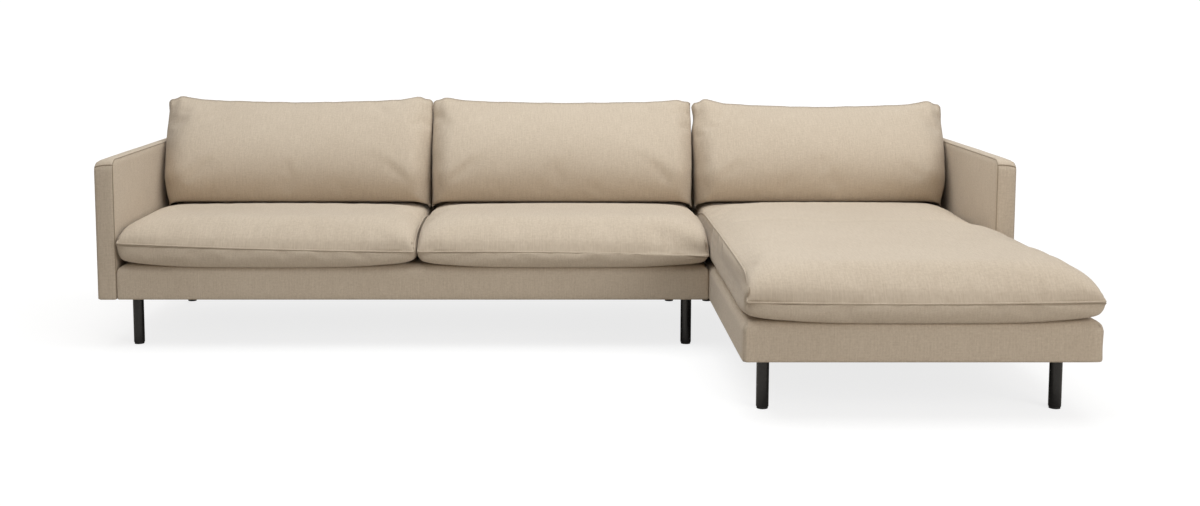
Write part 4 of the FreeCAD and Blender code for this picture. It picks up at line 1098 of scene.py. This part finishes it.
# %% [markdown]
# ## Stage, light and camera
#
# The floor is pale and fades to white. A large soft light hangs overhead, weaker ones stand behind and in
# front to the right, and some light comes from all round. The camera stands 1.13 m up and 4.6 m in front of
# the middle, looks slightly down and is shifted a little, so that uprights stay nearly upright.
#
# To light a floor evenly to white over many metres takes a hall full of lamps. Here it glows a little where
# the camera sees it, and dissolves into the white surroundings two to three metres out.

# %% Floor and surroundings
FLOOR_REACH = 9
FLOOR_GREYS = (0.51, 0.48, 0.44), (0.53, 0.50, 0.46)
FADE_FROM, FADE_TO = 1.5, 2.6


def mixed(amount, first, second):
    """One shader over another."""
    return amount.node("ShaderNodeMixShader", None, {0: amount, 1: first, 2: second})


r = FLOOR_REACH
floor_mesh = bpy.data.meshes.new("studio_floor")
floor_mesh.from_pydata([(-r, -r, 0), (r, -r, 0), (r, r, 0), (-r, r, 0)], [], [(0, 1, 2, 3)])
floor = bpy.data.objects.new("studio_floor", floor_mesh)
scene.collection.objects.link(floor)

paper, bounce, start = finish("pale_floor", (0.52, 0.49, 0.45), Roughness=0.95, Specular_IOR_Level=0.05)
feed(paper, bounce, Base_Color=blended(noise(start, start, 300, 2.0), *(shaded(grey) for grey in FLOOR_GREYS)))
matt = start.node("ShaderNodeBsdfDiffuse", None, {"Color": (0.30, 0.30, 0.30, 1)})
glow = start.node("ShaderNodeEmission", None, {"Color": (1, 1, 1, 1), "Strength": 0.80})
shown = start.node("ShaderNodeAddShader", None, {0: matt, 1: glow})
oval = stretched(start, start, (0.62, 1.0, 1.0))
distance = start.node("ShaderNodeVectorMath", {"operation": "LENGTH"}, {0: oval}, output=1)
shown = mixed(distance.ease(FADE_FROM, FADE_TO), shown, start.node("ShaderNodeBsdfTransparent"))
whole = mixed(start.node("ShaderNodeLightPath"), Net(start.tree, bounce.outputs[0]), shown)
start.tree.links.new(whole.socket, start.tree.nodes["Material Output"].inputs["Surface"])
floor_mesh.materials.append(paper)

world = bpy.data.worlds.new("studio")
scene.world = world
world.use_nodes = True
room_light = Net(world.node_tree, world.node_tree.nodes["Background"].outputs[0])
room_light.socket.node.inputs["Color"].default_value = (1.0, 0.935, 0.885, 1)
room_light.socket.node.inputs["Strength"].default_value = 0.265
white = room_light.node("ShaderNodeBackground", None, {"Color": (1, 1, 1, 1), "Strength": 1.05})
whole = mixed(room_light.node("ShaderNodeLightPath"), room_light, white)
world.node_tree.links.new(whole.socket, world.node_tree.nodes["World Output"].inputs["Surface"])
print("stage set")


# %% Soft lights
def soft_light(name, place, target, size, power, colour=(1, 1, 1)):
    """A large rectangular light that faces a point."""
    light = bpy.data.lights.new(name, "AREA")
    light.shape = "RECTANGLE"
    light.size, light.size_y = size
    light.energy = power
    light.color = colour
    holder = bpy.data.objects.new(name, light)
    holder.location = place
    holder.rotation_mode = "QUATERNION"
    holder.rotation_quaternion = (Vector(target) - Vector(place)).to_track_quat("-Z", "Y")
    scene.collection.objects.link(holder)


soft_light("overhead", (0.2, -0.35, 3.6), (0.1, -0.1, 0.4), (5.0, 3.0), 122, (0.97, 1.0, 1.01))
soft_light("behind", (-1.5, 4.6, 2.6), (0.0, 0.5, 0.4), (3.0, 2.0), 40)
soft_light("front_right", (3.2, -3.8, 2.0), (0.0, 0.2, 0.4), (2.4, 2.0), 64, (1.0, 0.98, 0.95))
print("lights up")

# %% Camera at the picture's angle
LENS, SHIFT = 41.874, (0.0378, -0.085)
CAMERA_PLACE, LOOKS_DOWN = (-0.0017, -4.5931, 1.1346), 5.831

lens = bpy.data.cameras.new("camera")
lens.sensor_width = 36
lens.lens = LENS
lens.shift_x, lens.shift_y = SHIFT
camera = bpy.data.objects.new("camera", lens)
camera.location = CAMERA_PLACE
camera.rotation_euler = (math.radians(90 - LOOKS_DOWN), 0, 0)
scene.collection.objects.link(camera)
scene.camera = camera
print("camera placed")
